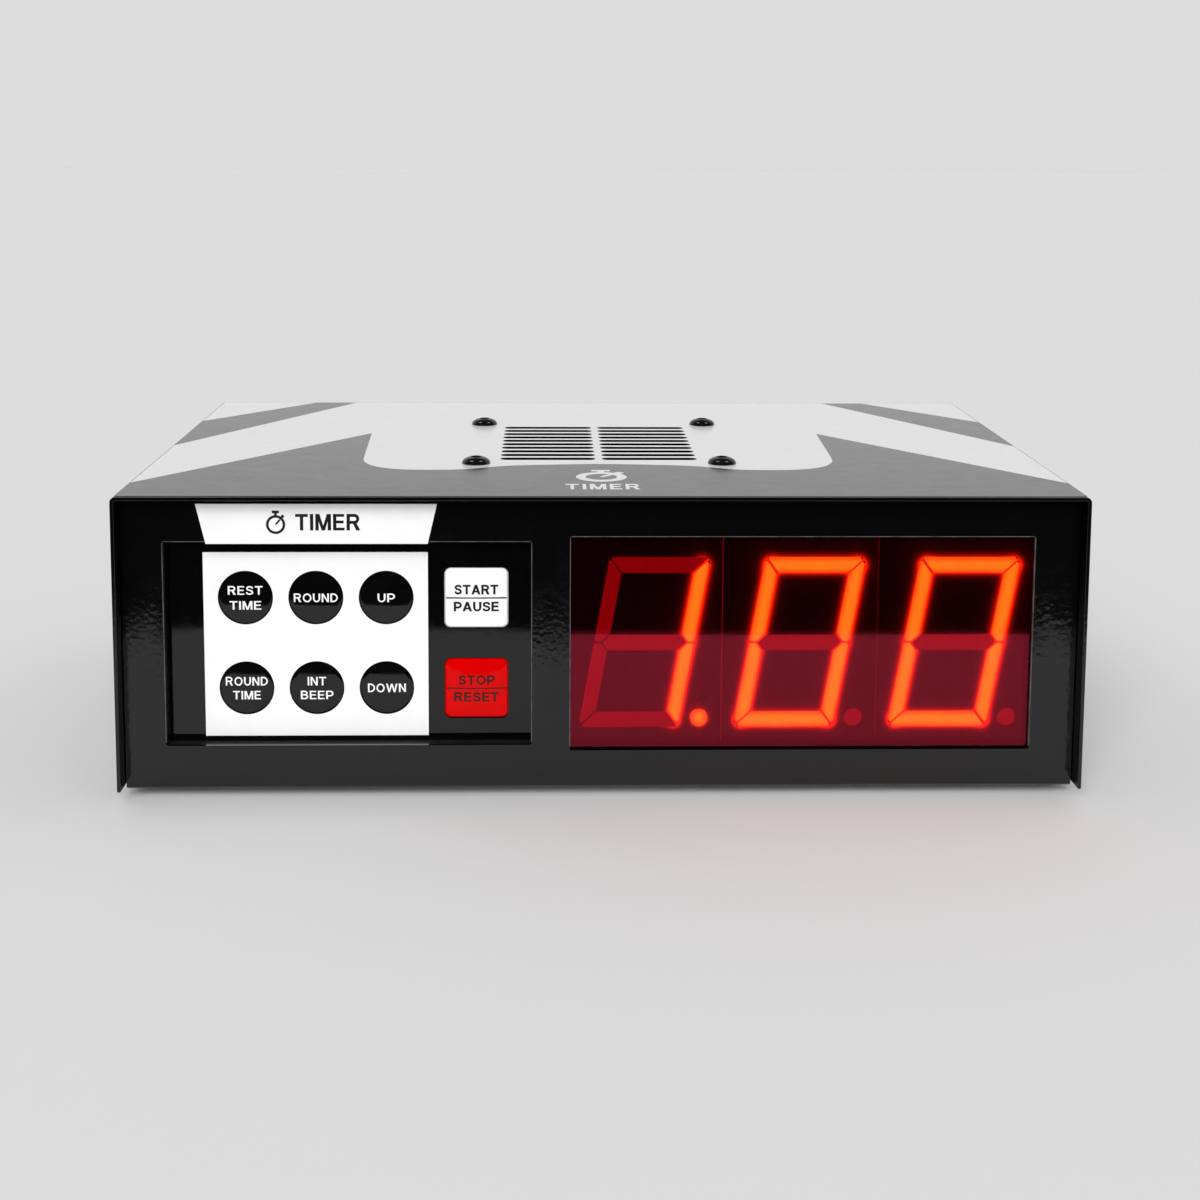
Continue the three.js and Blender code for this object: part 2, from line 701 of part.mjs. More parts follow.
// The pressed basket: a square flange, a conical wall with four windows, and a floor.
function speakerBasket() {
  const { opening, neck, wall, coilHole } = SPEAKER;
  const holes = [
    circle(0, SPEAKER_Y, opening - wall, SPEAKER_SIDES),
    ...speakerHoles(SPEAKER_SCREW.shank + GAP),
  ];
  const flange = lying(withHoles(speakerPlate(), holes), ...FLANGE);
  const bowl = turnedUpright(
    [
      [coilHole, NECK_Z],
      [neck, NECK_Z],
      [opening, FLANGE[0] + TOUCH],
      [opening - wall, FLANGE[0] + TOUCH],
      [neck - wall, NECK_Z + wall],
      [coilHole, NECK_Z + wall],
      [coilHole, NECK_Z],
    ],
    SPEAKER_SIDES,
  ).translate(0, SPEAKER_Y, 0);
  const windowWidth = 40;
  const windowZ = [NECK_Z + 4, FLANGE[0] - 5];
  const windows = [
    block(span(0, SPEAKER.frame), span(SPEAKER_Y, windowWidth), windowZ),
    block(span(0, windowWidth), span(SPEAKER_Y, SPEAKER.frame), windowZ),
  ];
  const tabWidth = 10;
  const tabY = [TERMINAL_Y, SPEAKER_Y - neck + 2];
  const tab = block(span(0, tabWidth), tabY, [NECK_Z, NECK_Z + wall]);
  return join([flange, cut(bowl, windows), tab]);
}

// The cone, its half-round surround, its dust cap and its coil former, as one moving piece.
function speakerCone() {
  const { edge, rollInner, coil, skin, cap } = CONE;
  const edgeZ = FLANGE[0] - CONE.drop;
  const coilZ = edgeZ - CONE.depth;
  const [rollCentre, rollRadius] = [(edge + rollInner) / 2, (edge - rollInner) / 2 - 1];
  const roll = [0.25, 0.5, 0.75].map((share) => [
    rollCentre + rollRadius * Math.cos(share * Math.PI),
    edgeZ + (rollRadius / 2) * Math.sin(share * Math.PI),
  ]);
  const [capShoulder, shoulderHeight, formerLength] = [0.6 * coil, 0.6 * cap, 5];
  const profile = [
    [0, coilZ + cap - skin],
    [capShoulder, coilZ + shoulderHeight - skin],
    [coil - skin, coilZ - skin],
    [coil - skin, coilZ - formerLength],
    [coil, coilZ - formerLength],
    [coil, coilZ - skin],
    [rollInner, edgeZ - skin],
    [edge, edgeZ - skin],
    [edge, edgeZ],
    ...roll,
    [rollInner, edgeZ],
    [coil, coilZ + skin],
    [capShoulder, coilZ + shoulderHeight],
    [0, coilZ + cap],
  ];
  return turnedUpright(profile, SPEAKER_SIDES).translate(0, SPEAKER_Y, 0);
}

function speakerMagnet() {
  const { ferrite, plate, chamfer } = MAGNET;
  const top = NECK_Z - TOUCH;
  const plateZ = top - MAGNET.topPlate;
  const ferriteZ = plateZ - MAGNET.ring;
  const bottom = ferriteZ - MAGNET.bottomPlate;
  const profile = [
    [0, bottom],
    [plate - chamfer, bottom],
    [plate, bottom + chamfer],
    [plate, ferriteZ],
    [ferrite, ferriteZ],
    [ferrite, plateZ],
    [plate, plateZ],
    [plate, top],
    [0, top],
  ];
  return turnedUpright(profile, SPEAKER_SIDES).translate(0, SPEAKER_Y, 0);
}

function speakerFrame([bottom, top]) {
  const holes = [
    circle(0, SPEAKER_Y, SPEAKER.ringOpening, SPEAKER_SIDES),
    ...speakerHoles(SPEAKER_SCREW.shank + GAP),
  ];
  return lying(withHoles(speakerPlate(), holes), bottom, top);
}

part("speaker_gasket", "rubber", speakerFrame(GASKET));
part("speaker_basket", "zinc", speakerBasket());
part("speaker_cone", "paperCone", speakerCone());
part("speaker_magnet", "ferrite", speakerMagnet());
part("speaker_ring", "zinc", speakerFrame(RING));
for (const corner of corners) {
  const x = (corner.side * SPEAKER.screwPitch) / 2;
  const y = SPEAKER_Y + (corner.depth * SPEAKER.screwPitch) / 2;
  const screw = buttonScrew(SPEAKER_SCREW).translate(x, y, DECAL_TOP + TOUCH);
  part("speaker_screw_" + cornerName(corner), "blackScrew", screw);
}

// ---- Rear panel ----

function dcJack() {
  const outer = REAR_FACE + JACK.flangeThickness;
  const boreEnd = outer - JACK.boreDepth;
  return turned(
    [
      [0, REAR_FACE - JACK.depth],
      [JACK.radius, REAR_FACE - JACK.depth],
      [JACK.radius, REAR_FACE + TOUCH],
      [JACK.flange, REAR_FACE + TOUCH],
      [JACK.flange, outer],
      [JACK.bore, outer],
      [JACK.bore, boreEnd],
      [JACK.pin, boreEnd],
      [JACK.pin, outer - 1],
      [0, outer - 1],
    ],
    20,
  ).translate(REAR.jackX, 0, REAR.z);
}

const PIVOT_Y = REAR_FACE + ROCKER.pivotOut;

function powerSwitch() {
  const plate = (grow) =>
    rectangle(REAR.switchX, REAR.z, SWITCH.width + 2 * grow, SWITCH.height + 2 * grow);
  const pocket = rectangle(REAR.switchX, REAR.z, ROCKER.width + 2 * GAP, 2 * ROCKER.pocket);
  const bezelRear = REAR_FACE + SWITCH.bezelThickness;
  return cut(
    join([
      facing(plate(0), REAR_FACE - SWITCH.depth, REAR_FACE + 2 * TOUCH),
      facing(plate(SWITCH.bezel), REAR_FACE + TOUCH, bezelRear),
    ]),
    [facing(pocket, PIVOT_Y - ROCKER.pocketDepth, bezelRear + 1)],
  );
}

// The rocker, with its upper end pressed in. It turns about X in the middle of the switch.
function powerRocker() {
  const { reach, width } = ROCKER;
  const profile = [
    [3, -reach],
    [1.6, 0],
    [3, reach],
    [0, reach + 0.5],
    [-5, 3.5],
    [-5, -3.5],
    [0, -reach - 0.5],
  ];
  return sideways(polygon(profile.reverse()), -width / 2, width / 2)
    .rotateX(THREE.MathUtils.degToRad(ROCKER.tilt))
    .translate(REAR.switchX, PIVOT_Y, REAR.z);
}

function volumePot() {
  const bodyRear = REAR_INNER - GAP;
  return turned(
    [
      [0, bodyRear - POT.depth],
      [POT.radius, bodyRear - POT.depth],
      [POT.radius, bodyRear - 1],
      [POT.boss, bodyRear],
      [POT.bushing, bodyRear],
      [POT.bushing, REAR_FACE + POT.bushingOut],
      [POT.shaft, REAR_FACE + POT.bushingOut],
      [POT.shaft, REAR_FACE + POT.shaftOut],
      [0, REAR_FACE + POT.shaftOut],
    ],
    20,
  ).translate(REAR.volumeX, 0, REAR.z);
}

function volumeNut() {
  const [radius, bore] = [NUT.acrossCorners / 2, POT.bushing + GAP];
  const nut = new THREE.CylinderGeometry(radius, radius, NUT.thickness, 6);
  const hole = new THREE.CylinderGeometry(bore, bore, 3 * NUT.thickness, 20);
  const y = REAR_FACE + TOUCH + NUT.thickness / 2;
  return cut(nut, [hole]).translate(REAR.volumeX, y, REAR.z);
}

// The knob: hollow around the nut, with a socket for the shaft and a pointer groove in its end.
function volumeKnob() {
  const { radius, taper, round, hollow } = KNOB;
  const bore = POT.shaft + GAP;
  const base = REAR_FACE + KNOB.standOff;
  const end = base + KNOB.height;
  const profile = [
    [bore, base + KNOB.hollowDepth],
    [hollow, base + KNOB.hollowDepth],
    [hollow, base],
    [radius, base],
    [radius - taper, end - round],
    [radius - taper - round, end],
    [0, end],
    [0, base + KNOB.socketDepth],
    [bore, base + KNOB.socketDepth],
    [bore, base + KNOB.hollowDepth],
  ];
  const grooveY = [end - POINTER.depth, end + 1];
  const groove = block(span(0, POINTER.width), grooveY, [POINTER.start, radius + 1]);
  return cut(turned(profile, 24), [groove]).translate(REAR.volumeX, 0, REAR.z);
}

part("dc_jack", "blackPlastic", dcJack());
part("power_switch", "blackPlastic", powerSwitch());
part("power_rocker", "blackPlastic", powerRocker());
part("volume_pot", "zinc", volumePot());
part("volume_nut", "zinc", volumeNut());
part("volume_knob", "blackPlastic", volumeKnob());

// ---- Wiring ----

// A flat cable that leaves the keypad's board, passes behind the display's and meets its rear.
function ribbonCable() {
  const [keypadX, displayX] = RIBBON.x;
  const behind = BOARD_REAR + RIBBON.behindBoard;
  const line = [
    [displayX, BOARD_REAR + GAP],
    [displayX, behind],
    [keypadX, behind],
    [keypadX, PANEL + LAYER.board[1] + GAP],
  ];
  return lying(bentSheet(line, RIBBON.thickness, RIBBON.bend), ...RIBBON.z);
}

function lead(points) {
  const extrudePath = new THREE.CatmullRomCurve3(points.map(vector3));
  const steps = Math.round(extrudePath.getLength() / LEAD.step);
  const section = circle(0, 0, LEAD.radius, LEAD.sides);
  return new THREE.ExtrudeGeometry(section, { steps, extrudePath, bevelEnabled: false });
}

part("ribbon_cable", "greyCable", ribbonCable());
part(
  "speaker_lead",
  "blackCable",
  lead([
    [0, TERMINAL_Y - GAP, NECK_Z],
    [1, TERMINAL_Y - 7, NECK_Z - 2],
    [18, PANEL + 40, 54],
    [40, PANEL + 32, 44],
    [50, PANEL + 26, 42],
    [50, BOARD_REAR + GAP, 42],
  ]),
);
const switchEnd = REAR_FACE - SWITCH.depth - GAP;
part(
  "jack_lead",
  "blackCable",
  lead([
    [REAR.jackX, REAR_FACE - JACK.depth - GAP, REAR.z],
    [REAR.jackX, REAR_FACE - JACK.depth - 8, REAR.z],
    [REAR.jackX + 8, switchEnd - 14, REAR.z - 3],
    [REAR.switchX - 7, switchEnd - 14, REAR.z - 5],
    [REAR.switchX, switchEnd - 7, REAR.z - 6],
    [REAR.switchX, switchEnd, REAR.z - 6],
  ]),
);
part(
  "power_lead",
  "blackCable",
  lead([
    [REAR.switchX, switchEnd, REAR.z + 4],
    [REAR.switchX, switchEnd - 8, REAR.z + 4],
    [REAR.switchX, switchEnd - 24, 32],
    [-86, switchEnd - 44, 12],
    [-88, 10, 7],
    [-82, PANEL + 52, 7],
    [-56, PANEL + 38, 8],
    [-10, PANEL + 38, 10],
    [18, PANEL + 34, 18],
    [24, PANEL + 26, 24],
    [24, BOARD_REAR + GAP, 24],
  ]),
);
part(
  "volume_lead",
  "blackCable",
  lead([
    [REAR.volumeX, REAR_INNER - 2 * GAP - POT.depth, REAR.z - 4],
    [REAR.volumeX, REAR_INNER - POT.depth - 9, REAR.z - 4],
    [REAR.volumeX + 2, REAR_INNER - POT.depth - 26, 26],
    [108, REAR_INNER - 60, 9],
    [110, 0, 7],
    [110, PANEL + 52, 8],
    [104, PANEL + 34, 16],
    [100, PANEL + 27, 22],
    [100, BOARD_REAR + GAP, 22],
  ]),
);

export default timer;
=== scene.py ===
"""Looks of the gym round timer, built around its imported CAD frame.

Shapes are drawn in millimetres in the frame's axes: +X to the right seen from the front, +Y to the rear and
+Z up. piece() turns them into metres.
"""
import json
from math import cos, pi, radians, sin, tan

import bmesh
import bpy
from mathutils import Matrix, Vector

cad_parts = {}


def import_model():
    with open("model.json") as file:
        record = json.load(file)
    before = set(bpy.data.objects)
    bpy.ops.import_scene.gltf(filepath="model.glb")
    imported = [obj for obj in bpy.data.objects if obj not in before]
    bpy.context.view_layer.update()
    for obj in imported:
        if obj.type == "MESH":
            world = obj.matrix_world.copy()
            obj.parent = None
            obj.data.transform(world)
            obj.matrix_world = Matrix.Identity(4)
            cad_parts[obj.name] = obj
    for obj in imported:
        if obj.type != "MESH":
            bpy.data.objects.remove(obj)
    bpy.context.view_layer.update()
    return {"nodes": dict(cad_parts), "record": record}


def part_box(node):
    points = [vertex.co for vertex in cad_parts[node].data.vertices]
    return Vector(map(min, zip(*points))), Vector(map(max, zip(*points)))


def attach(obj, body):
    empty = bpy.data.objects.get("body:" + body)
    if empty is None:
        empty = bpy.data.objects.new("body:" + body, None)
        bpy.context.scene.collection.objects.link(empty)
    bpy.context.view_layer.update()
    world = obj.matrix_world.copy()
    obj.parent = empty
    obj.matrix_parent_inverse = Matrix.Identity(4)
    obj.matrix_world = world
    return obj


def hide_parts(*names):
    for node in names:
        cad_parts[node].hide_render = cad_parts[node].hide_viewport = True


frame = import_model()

MM = 0.001
SHEET = 1.2  # steel sheet
BEND = 1.8  # outer radius of its bends
RIM = 0.25  # rounding of its cut edges
LABEL_RISE = 0.8  # how much higher the printed label sits than its CAD plate
INK = 0.02  # thickness of printed ink
SMOOTH_ANGLE = radians(32)

VENT = {"rows": 10, "columns": 2, "pitch": 7.5, "length": 32.5, "width": 4, "column_pitch": 35.4}
# Screws at the vent and in the sides: the height of the head, and radii.
VENT_SCREW = {"height": 2.75, "shank": 2.4, "socket": 2.0, "hole": 2.7}
SIDE_SCREW = {"height": 2.2, "shank": 1.9, "socket": 1.6, "hole": 2.2, "length": 6}
FLANGE = 11  # how far the chassis reaches under the cover's top
LIP = {"height": 15, "short": 14}  # the chassis's side lips, and how far they end before its front and rear
# Windows: how far the plates behind reach past them, and the width of the painted highlight along their cut
# edge.
WINDOW = {"margin": 4, "radius": 1, "edge": 0.28}
# Keys: a flange behind the overlay reaches past the cap by overhang.
KEY = {"overhang": 0.75, "hole": 0.25, "corner": 1.95, "crown": 0.45, "edge": 0.35, "stem": 3}
KEY_FLANGE = 7.1, 7.7  # its front and rear, behind the panel's face
SURROUND = 6  # depth of the keypad's surround behind the panel's face
PIN = {"outside": 2.2, "radius": 1.2, "hole": 1.5}  # the pins at the keypad's corners
FIELD = {"width": 71.8, "height": 60.6, "drop": 0.5}  # white print behind the round keys
DIGIT = {"height": 56.9, "width": 33, "bar": 5.7, "upright": 5.1, "slant": tan(radians(10))}
DIGIT_LOW = 1.25  # the character's centre, below its case's
DIGIT_FACE = 1.5  # thickness of its face
DIGIT_WEB = 1.8  # depth at which its diffuser's web starts
DIGIT_WALL = 1.2
BAR_INSET, POCKET_INSET = 0.45, 0.15  # how far a segment's bar and the hole before it lie within its outline
POINT = {"x": 17.9, "z": -25.1, "radius": 2.8}  # the decimal point, from the character's centre
LIT = {1: "bc.", 2: "abcdef", 3: "abcdef"}  # lit segments
REAR_HOLES = {"jack": 5.7, "shaft": 3.7, "switch": (13.2, 19.4)}  # radii, and a width and height
DIAL = {"marks": 11, "gap": 1.6, "length": 2.2, "width": 0.55}

# What is drawn in X and Y stands in X and Z, and what faced +Z faces the front.
FRONTWARD = Matrix.Rotation(radians(90), 4, "X")
REARWARD = Matrix.Rotation(radians(-90), 4, "X")  # +Z faces the rear
SIDEWAYS = Matrix(((0, 0, 1, 0), (1, 0, 0, 0), (0, 1, 0, 0), (0, 0, 0, 1)))  # X, Y and Z become Y, Z and X


# ---- The frame ----

def box(node):
    """The lowest and highest corners of a CAD node, in millimetres."""
    low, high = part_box(node)
    return low / MM, high / MM


def middle(node):
    low, high = box(node)
    return (low + high) / 2


def half_width(node):
    low, high = box(node)
    return (high.x - low.x) / 2


COVER = box("top_cover")
CHASSIS = box("chassis")
DECAL = box("top_decal")
PANEL = CHASSIS[0].y  # front face of the front panel
REAR = CHASSIS[1].y  # outer face of the rear panel
SPEAKER = middle("speaker_magnet")
CORNERS = [(side, depth) for depth in ("front", "rear") for side in ("left", "right")]
LEGENDS = {  # each line's text, width and height above the middle of its key
    "key_rest_time": [("REST", 11.2, 2.45), ("TIME", 10.2, -2.45)],
    "key_round": [("ROUND", 14.2, 0)],
    "key_up": [("UP", 5.6, 0)],
    "key_round_time": [("ROUND", 13.6, 2.3), ("TIME", 9, -2.3)],
    "key_int_beep": [("INT", 6, 2.3), ("BEEP", 10.5, -2.3)],
    "key_down": [("DOWN", 12.3, 0)],
    "key_start_pause": [("START", 14, 2.75), ("PAUSE", 14.4, -2.85)],
    "key_stop_reset": [("STOP", 11.6, 2.75), ("RESET", 14.4, -2.85)],
}
ROUND_KEYS, SQUARE_KEYS = list(LEGENDS)[:6], list(LEGENDS)[6:]


def window(node):
    """The opening in the panel before a plate that reaches past it all round."""
    low, high = box(node)
    margin = Vector((WINDOW["margin"], 0, WINDOW["margin"]))
    return low + margin, high - margin


# ---- Outlines: lists of points, counterclockwise ----

def rounded(corners, steps=8):
    """An outline from (x, y, radius) corners, with an arc at each corner that has a radius."""
    outline = []
    for i, (x, y, radius) in enumerate(corners):
        corner = Vector((x, y))
        before = (Vector(corners[i - 1][:2]) - corner).normalized()
        after = (Vector(corners[(i + 1) % len(corners)][:2]) - corner).normalized()
        half = before.angle(after) / 2
        centre = corner + (before + after).normalized() * radius / sin(half)
        start = corner + before * radius / tan(half) - centre
        end = corner + after * radius / tan(half) - centre
        turn = [start.slerp(end, k / steps) for k in range(steps + 1)] if radius else []
        points = [centre + direction * radius for direction in turn] or [corner]
        outline += [p for p in points if not outline or (p - outline[-1]).length > 1e-4]
    return outline if (outline[0] - outline[-1]).length > 1e-4 else outline[:-1]


def slab(left, right, low, high):
    return [(left, low), (right, low), (right, high), (left, high)]


def rectangle(x, y, width, height, radius=0.0, steps=8):
    corners = slab(x - width / 2, x + width / 2, y - height / 2, y + height / 2)
    return rounded([(*corner, radius) for corner in corners], steps)


def front_of(low, high, radius):
    """The outline in X and Z of the box between two corners."""
    centre, size = (low + high) / 2, high - low
    return rectangle(centre.x, centre.z, size.x, size.z, radius)


def circle(x, y, radius, steps=48):
    angles = [2 * pi * k / steps for k in range(steps)]
    return [Vector((x + radius * cos(a), y + radius * sin(a))) for a in angles]


def arc(x, y, radius_x, radius_y, start, end, steps=14):
    """Points from one angle to another, in degrees, on an ellipse."""
    angles = [radians(start + (end - start) * k / steps) for k in range(steps + 1)]
    return [Vector((x + radius_x * cos(a), y + radius_y * sin(a))) for a in angles]


def moved_in(outline, distance):
    """An outline with each side moved inwards."""
    count = len(outline)
    sides = []
    for i, point in enumerate(outline):
        along = (outline[(i + 1) % count] - point).normalized()
        sides.append((point + Vector((-along.y, along.x)) * distance, along))
    inner = []
    for (before, a), (after, b) in zip([sides[-1], *sides], sides):
        inner.append(before + a * ((after - before).cross(b) / a.cross(b)))
    return inner


def curve_through(points, steps=6):
    """A smooth line through points."""
    line = []
    padded = [points[0], *points, points[-1]]
    for a, b, c, d in zip(padded, padded[1:], padded[2:], padded[3:]):
        for k in range(steps):
            t = k / steps
            bend, twist = 2 * a - 5 * b + 4 * c - d, 3 * b - a - 3 * c + d
            line.append(0.5 * (2 * b + (c - a) * t + bend * t**2 + twist * t**3))
    return [*line, points[-1]]


# ---- Meshes, in millimetres ----

def placed(name, data):
    """A new object in the scene."""
    thing = bpy.data.objects.new(name, data)
    bpy.context.scene.collection.objects.link(thing)
    return thing


def meshed(solid):
    """A bmesh as a mesh."""
    mesh = bpy.data.meshes.new("solid")
    solid.to_mesh(mesh)
    solid.free()
    return mesh


def cleaned(solid):
    """A bmesh as a mesh, with doubled points merged and faces turned outwards."""
    bmesh.ops.remove_doubles(solid, verts=solid.verts, dist=1e-5)
    bmesh.ops.recalc_face_normals(solid, faces=solid.faces)
    return meshed(solid)


def joined(*meshes):
    whole = bmesh.new()
    for mesh in meshes:
        whole.from_mesh(mesh)
    return meshed(whole)


def moved(mesh, *matrices):
    for matrix in matrices:
        mesh.transform(matrix)
    return mesh


def at(x, y, z):
    return Matrix.Translation((x, y, z))


def stacked(rings):
    """A solid through rings of as many points each, with its first and last rings closed."""
    solid = bmesh.new()
    levels = [[solid.verts.new(point) for point in ring] for ring in rings]
    count = len(rings[0])
    for lower, upper in zip(levels, levels[1:]):
        for i in range(count):
            j = (i + 1) % count
            solid.faces.new((lower[i], lower[j], upper[j], upper[i]))
    solid.faces.new(levels[0][::-1])
    solid.faces.new(levels[-1])
    return cleaned(solid)


def turned(profile, steps=64):
    """A solid of revolution about Z, from (radius, z) points, closed with a disc at each end."""
    return stacked([[(*point, z) for point in circle(0, 0, radius, steps)] for radius, z in profile])


def prism(outline, low, high):
    return stacked([[(*point, z) for point in outline] for z in (low, high)])


def combined(mesh, others, operation="DIFFERENCE"):
    """A mesh less others, or with them, one after another."""
    for other in others:
        holder, tool = placed("holder", mesh), placed("tool", other)
        modifier = holder.modifiers.new("combine", "BOOLEAN")
        modifier.operation = operation
        modifier.solver = "EXACT"
        modifier.object = tool
        graph = bpy.context.evaluated_depsgraph_get()
        mesh = bpy.data.meshes.new_from_object(holder.evaluated_get(graph))
        bpy.data.objects.remove(holder)
        bpy.data.objects.remove(tool)
    return mesh


def plate(outline, low, high, holes):
    """A flat solid from Z low to Z high, with holes."""
    solid = prism(outline, low, high)
    return combined(solid, [prism(hole, low - 1, high + 1) for hole in holes]) if holes else solid


def facing(outline, front, rear, holes=()):
    """A plate drawn in X and Z, from Y front to Y rear."""
    return moved(plate(outline, -rear, -front, holes), FRONTWARD)


def ribbon(points, width):
    """A strip of ink along a line of points, centred on Z = 0."""
    rings = []
    for i, point in enumerate(points):
        before = (point - points[max(i - 1, 0)]).normalized()
        after = (points[min(i + 1, len(points) - 1)] - point).normalized()
        along = (before + after).normalized()
        spread = width / 2 / max(along.dot(after if i + 1 < len(points) else before), 0.5)
        side = Vector((-along.y, along.x)) * spread
        left, right, up = point + side, point - side, INK / 2
        rings.append([(*left, -up), (*right, -up), (*right, up), (*left, up)])
    return stacked(rings)


# ---- Lettering ----

def slope(bottom, top, width=2.1):
    """A slanted bar with level ends, by its left edge's place at the bottom and at the top."""
    return [(bottom, 0), (bottom + width, 0), (top + width, 10), (top, 10)]


def bowl(x, high, low):
    """The line of a bowl that starts and ends on a stem."""
    radius = (high - low) / 2
    return [Vector((1, high)), *arc(x, low + radius, radius * 1.06, radius, 90, -90), Vector((1, low))]


STROKE = 1.85  # width of the curved strokes
STEM = slab(0, 2.1, 0, 10)
GLYPHS = {  # ten units high: the width, the straight bars and the curved strokes of each capital
    "A": (9.4, [slope(0, 3.5, 2.3), slope(7.1, 3.6, 2.3), slab(2, 7.4, 2.1, 3.8)], []),
    "B": (7.9, [STEM], [bowl(4.3, 9.15, 5.2), bowl(4.6, 5.2, 0.85)]),
    "D": (8.4, [STEM], [bowl(3, 9.15, 0.85)]),
    "E": (7.2, [STEM, slab(1, 7, 8.3, 10), slab(1, 6.6, 4.3, 6), slab(1, 7.2, 0, 1.7)], []),
    "I": (2.1, [STEM], []),
    "M": (9.8, [STEM, slab(7.7, 9.8, 0, 10), slope(3.85, 0.6, 2), slope(3.95, 7.2, 2)], []),
    "N": (8.2, [STEM, slab(6.1, 8.2, 0, 10), slope(6, 0.1)], []),
    "O": (9.8, [], [arc(4.9, 5, 3.85, 4.2, -90, 90), arc(4.9, 5, 3.85, 4.2, 90, 270)]),
    "P": (7.6, [STEM], [bowl(4.2, 9.15, 4)]),
    "R": (8.6, [STEM, [(6, 0), (8.6, 0), (6.2, 4.6), (3.8, 4.6)]], [bowl(4.8, 9.15, 4.9)]),
    "S": (7.9, [], [[(6.8, 7), (6.2, 8.45), (4, 9.15), (1.9, 8.5), (1.3, 7.1), (2.2, 5.85), (4, 5.2),
                     (6, 4.4), (6.85, 2.9), (6.1, 1.45), (4, 0.85), (1.8, 1.4), (1, 3.1)]]),
    "T": (8, [slab(0, 8, 8.2, 10), slab(2.95, 5.05, 0, 10)], []),
    "U": (8.2, [slab(0, 2.1, 4, 10), slab(6.1, 8.2, 4, 10)], [arc(4.1, 4.1, 3.05, 3.2, 180, 360)]),
    "W": (13.2, [slope(2.5, 0), slope(2.5, 5.55), slope(8.6, 5.55), slope(8.6, 11.1)], []),
}


def lettering(text, width, height, weight=0.0, gap=1.25):
    """Bold capitals in ink, centred on the origin. weight widens the strokes, in tenths of the height."""
    parts = []
    reach = 0
    for letter in text:
        advance, bars, strokes = GLYPHS[letter]
        outlines = [moved_in([Vector(point) for point in bar], -weight / 2) for bar in bars]
        glyph = [prism(outline, -INK / 2, INK / 2) for outline in outlines]
        for stroke in strokes:
            line = [Vector(point) for point in stroke]
            glyph.append(ribbon(curve_through(line, 3) if letter == "S" else line, STROKE + weight))
        parts.append(moved(combined(glyph[0], glyph[1:], "UNION"), at(reach, 0, 0)))
        reach += advance + gap
    reach -= gap
    return moved(joined(*parts), at(-reach / 2, -5, 0), Matrix.Diagonal((width / reach, height / 10, 1, 1)))


def stopwatch(size, line=1.1):
    """A stopwatch in ink, centred on the origin. line is the width of its ring, in tenths of its size."""
    unit, up = size / 10, INK / 2
    pivot = at(0, -unit, 0)

    def bar(y, width, height, angle=0):
        solid = prism(rectangle(0, y * unit, width * unit, height * unit, 0.2 * unit, 3), -up, up)
        return moved(solid, pivot @ Matrix.Rotation(radians(angle), 4, "Z") @ pivot.inverted())

    case = plate(circle(0, -unit, 4 * unit), -up, up, [circle(0, -unit, (4 - line) * unit)])
    bars = [bar(4.35, 3, 1.1), bar(3.4, 1.1, 1.2), bar(3.55, 1.3, 1.1, -40), bar(0.4, 0.8, 2.8, -40)]
    return combined(case, bars, "UNION")


# ---- Materials ----

def grey(value):
    return value, value, value


def shader_of(material):
    return material.node_tree.nodes["Principled BSDF"]


def finish(name, color, roughness, **sockets):
    """A Principled material. A socket's name is given with _ for each space."""
    material = bpy.data.materials.new(name)
    material.use_nodes = True
    shader = shader_of(material)
    shader.inputs["Base Color"].default_value = (*color, 1)
    shader.inputs["Roughness"].default_value = roughness
    for socket, value in sockets.items():
        shader.inputs[socket.replace("_", " ")].default_value = value
    return material


def add_node(tree, kind, inputs, **settings):
    """The outputs of a new shader node. inputs gives values or other nodes' outputs, by name or place."""
    node = tree.nodes.new(f"ShaderNode{kind}")
    for setting, value in settings.items():
        setattr(node, setting, value)
    for place, value in inputs.items():
        if isinstance(value, bpy.types.NodeSocket):
            tree.links.new(value, node.inputs[place])
        else:
            node.inputs[place].default_value = value
    return node.outputs


def math_node(tree, operation, *values):
    return add_node(tree, "Math", dict(enumerate(values)), operation=operation)["Value"]


def vector_node(tree, operation, first, second=(0, 0, 0)):
    """A Vector Math node. SCALE takes its factor as second, too."""
    place = "Scale" if operation == "SCALE" else 1
    outputs = add_node(tree, "VectorMath", {0: first, place: second}, operation=operation)
    return outputs["Value" if operation in ("DOT_PRODUCT", "LENGTH") else "Vector"]


def noise(material, size, detail=2.0, stretch=(1, 1, 1)):
    """Noise with features of a given size in millimetres."""
    tree = material.node_tree
    place = add_node(tree, "TexCoord", {})["Object"]
    place = add_node(tree, "Mapping", {"Vector": place, "Scale": stretch})["Vector"]
    return add_node(tree, "TexNoise", {"Vector": place, "Scale": 1 / (size * MM), "Detail": detail})["Fac"]


def bumpy(material, size, height, detail=2.0, stretch=(1, 1, 1)):
    """Adds bumps of a given size and height in millimetres to those that the material has."""
    tree = material.node_tree
    normal = shader_of(material).inputs["Normal"]
    inputs = {"Distance": height * MM, "Height": noise(material, size, detail, stretch)}
    if normal.is_linked:
        inputs["Normal"] = normal.links[0].from_socket
    tree.links.new(add_node(tree, "Bump", inputs)["Normal"], normal)
    return material


def uneven(material, low, high, size, detail=3.0, stretch=(1, 1, 1)):
    """Varies the roughness between two values."""
    tree = material.node_tree
    fac = noise(material, size, detail, stretch)
    inputs = {"Value": fac, "From Min": 0.3, "From Max": 0.7, "To Min": low, "To Max": high}
    tree.links.new(add_node(tree, "MapRange", inputs)["Result"], shader_of(material).inputs["Roughness"])
    return material


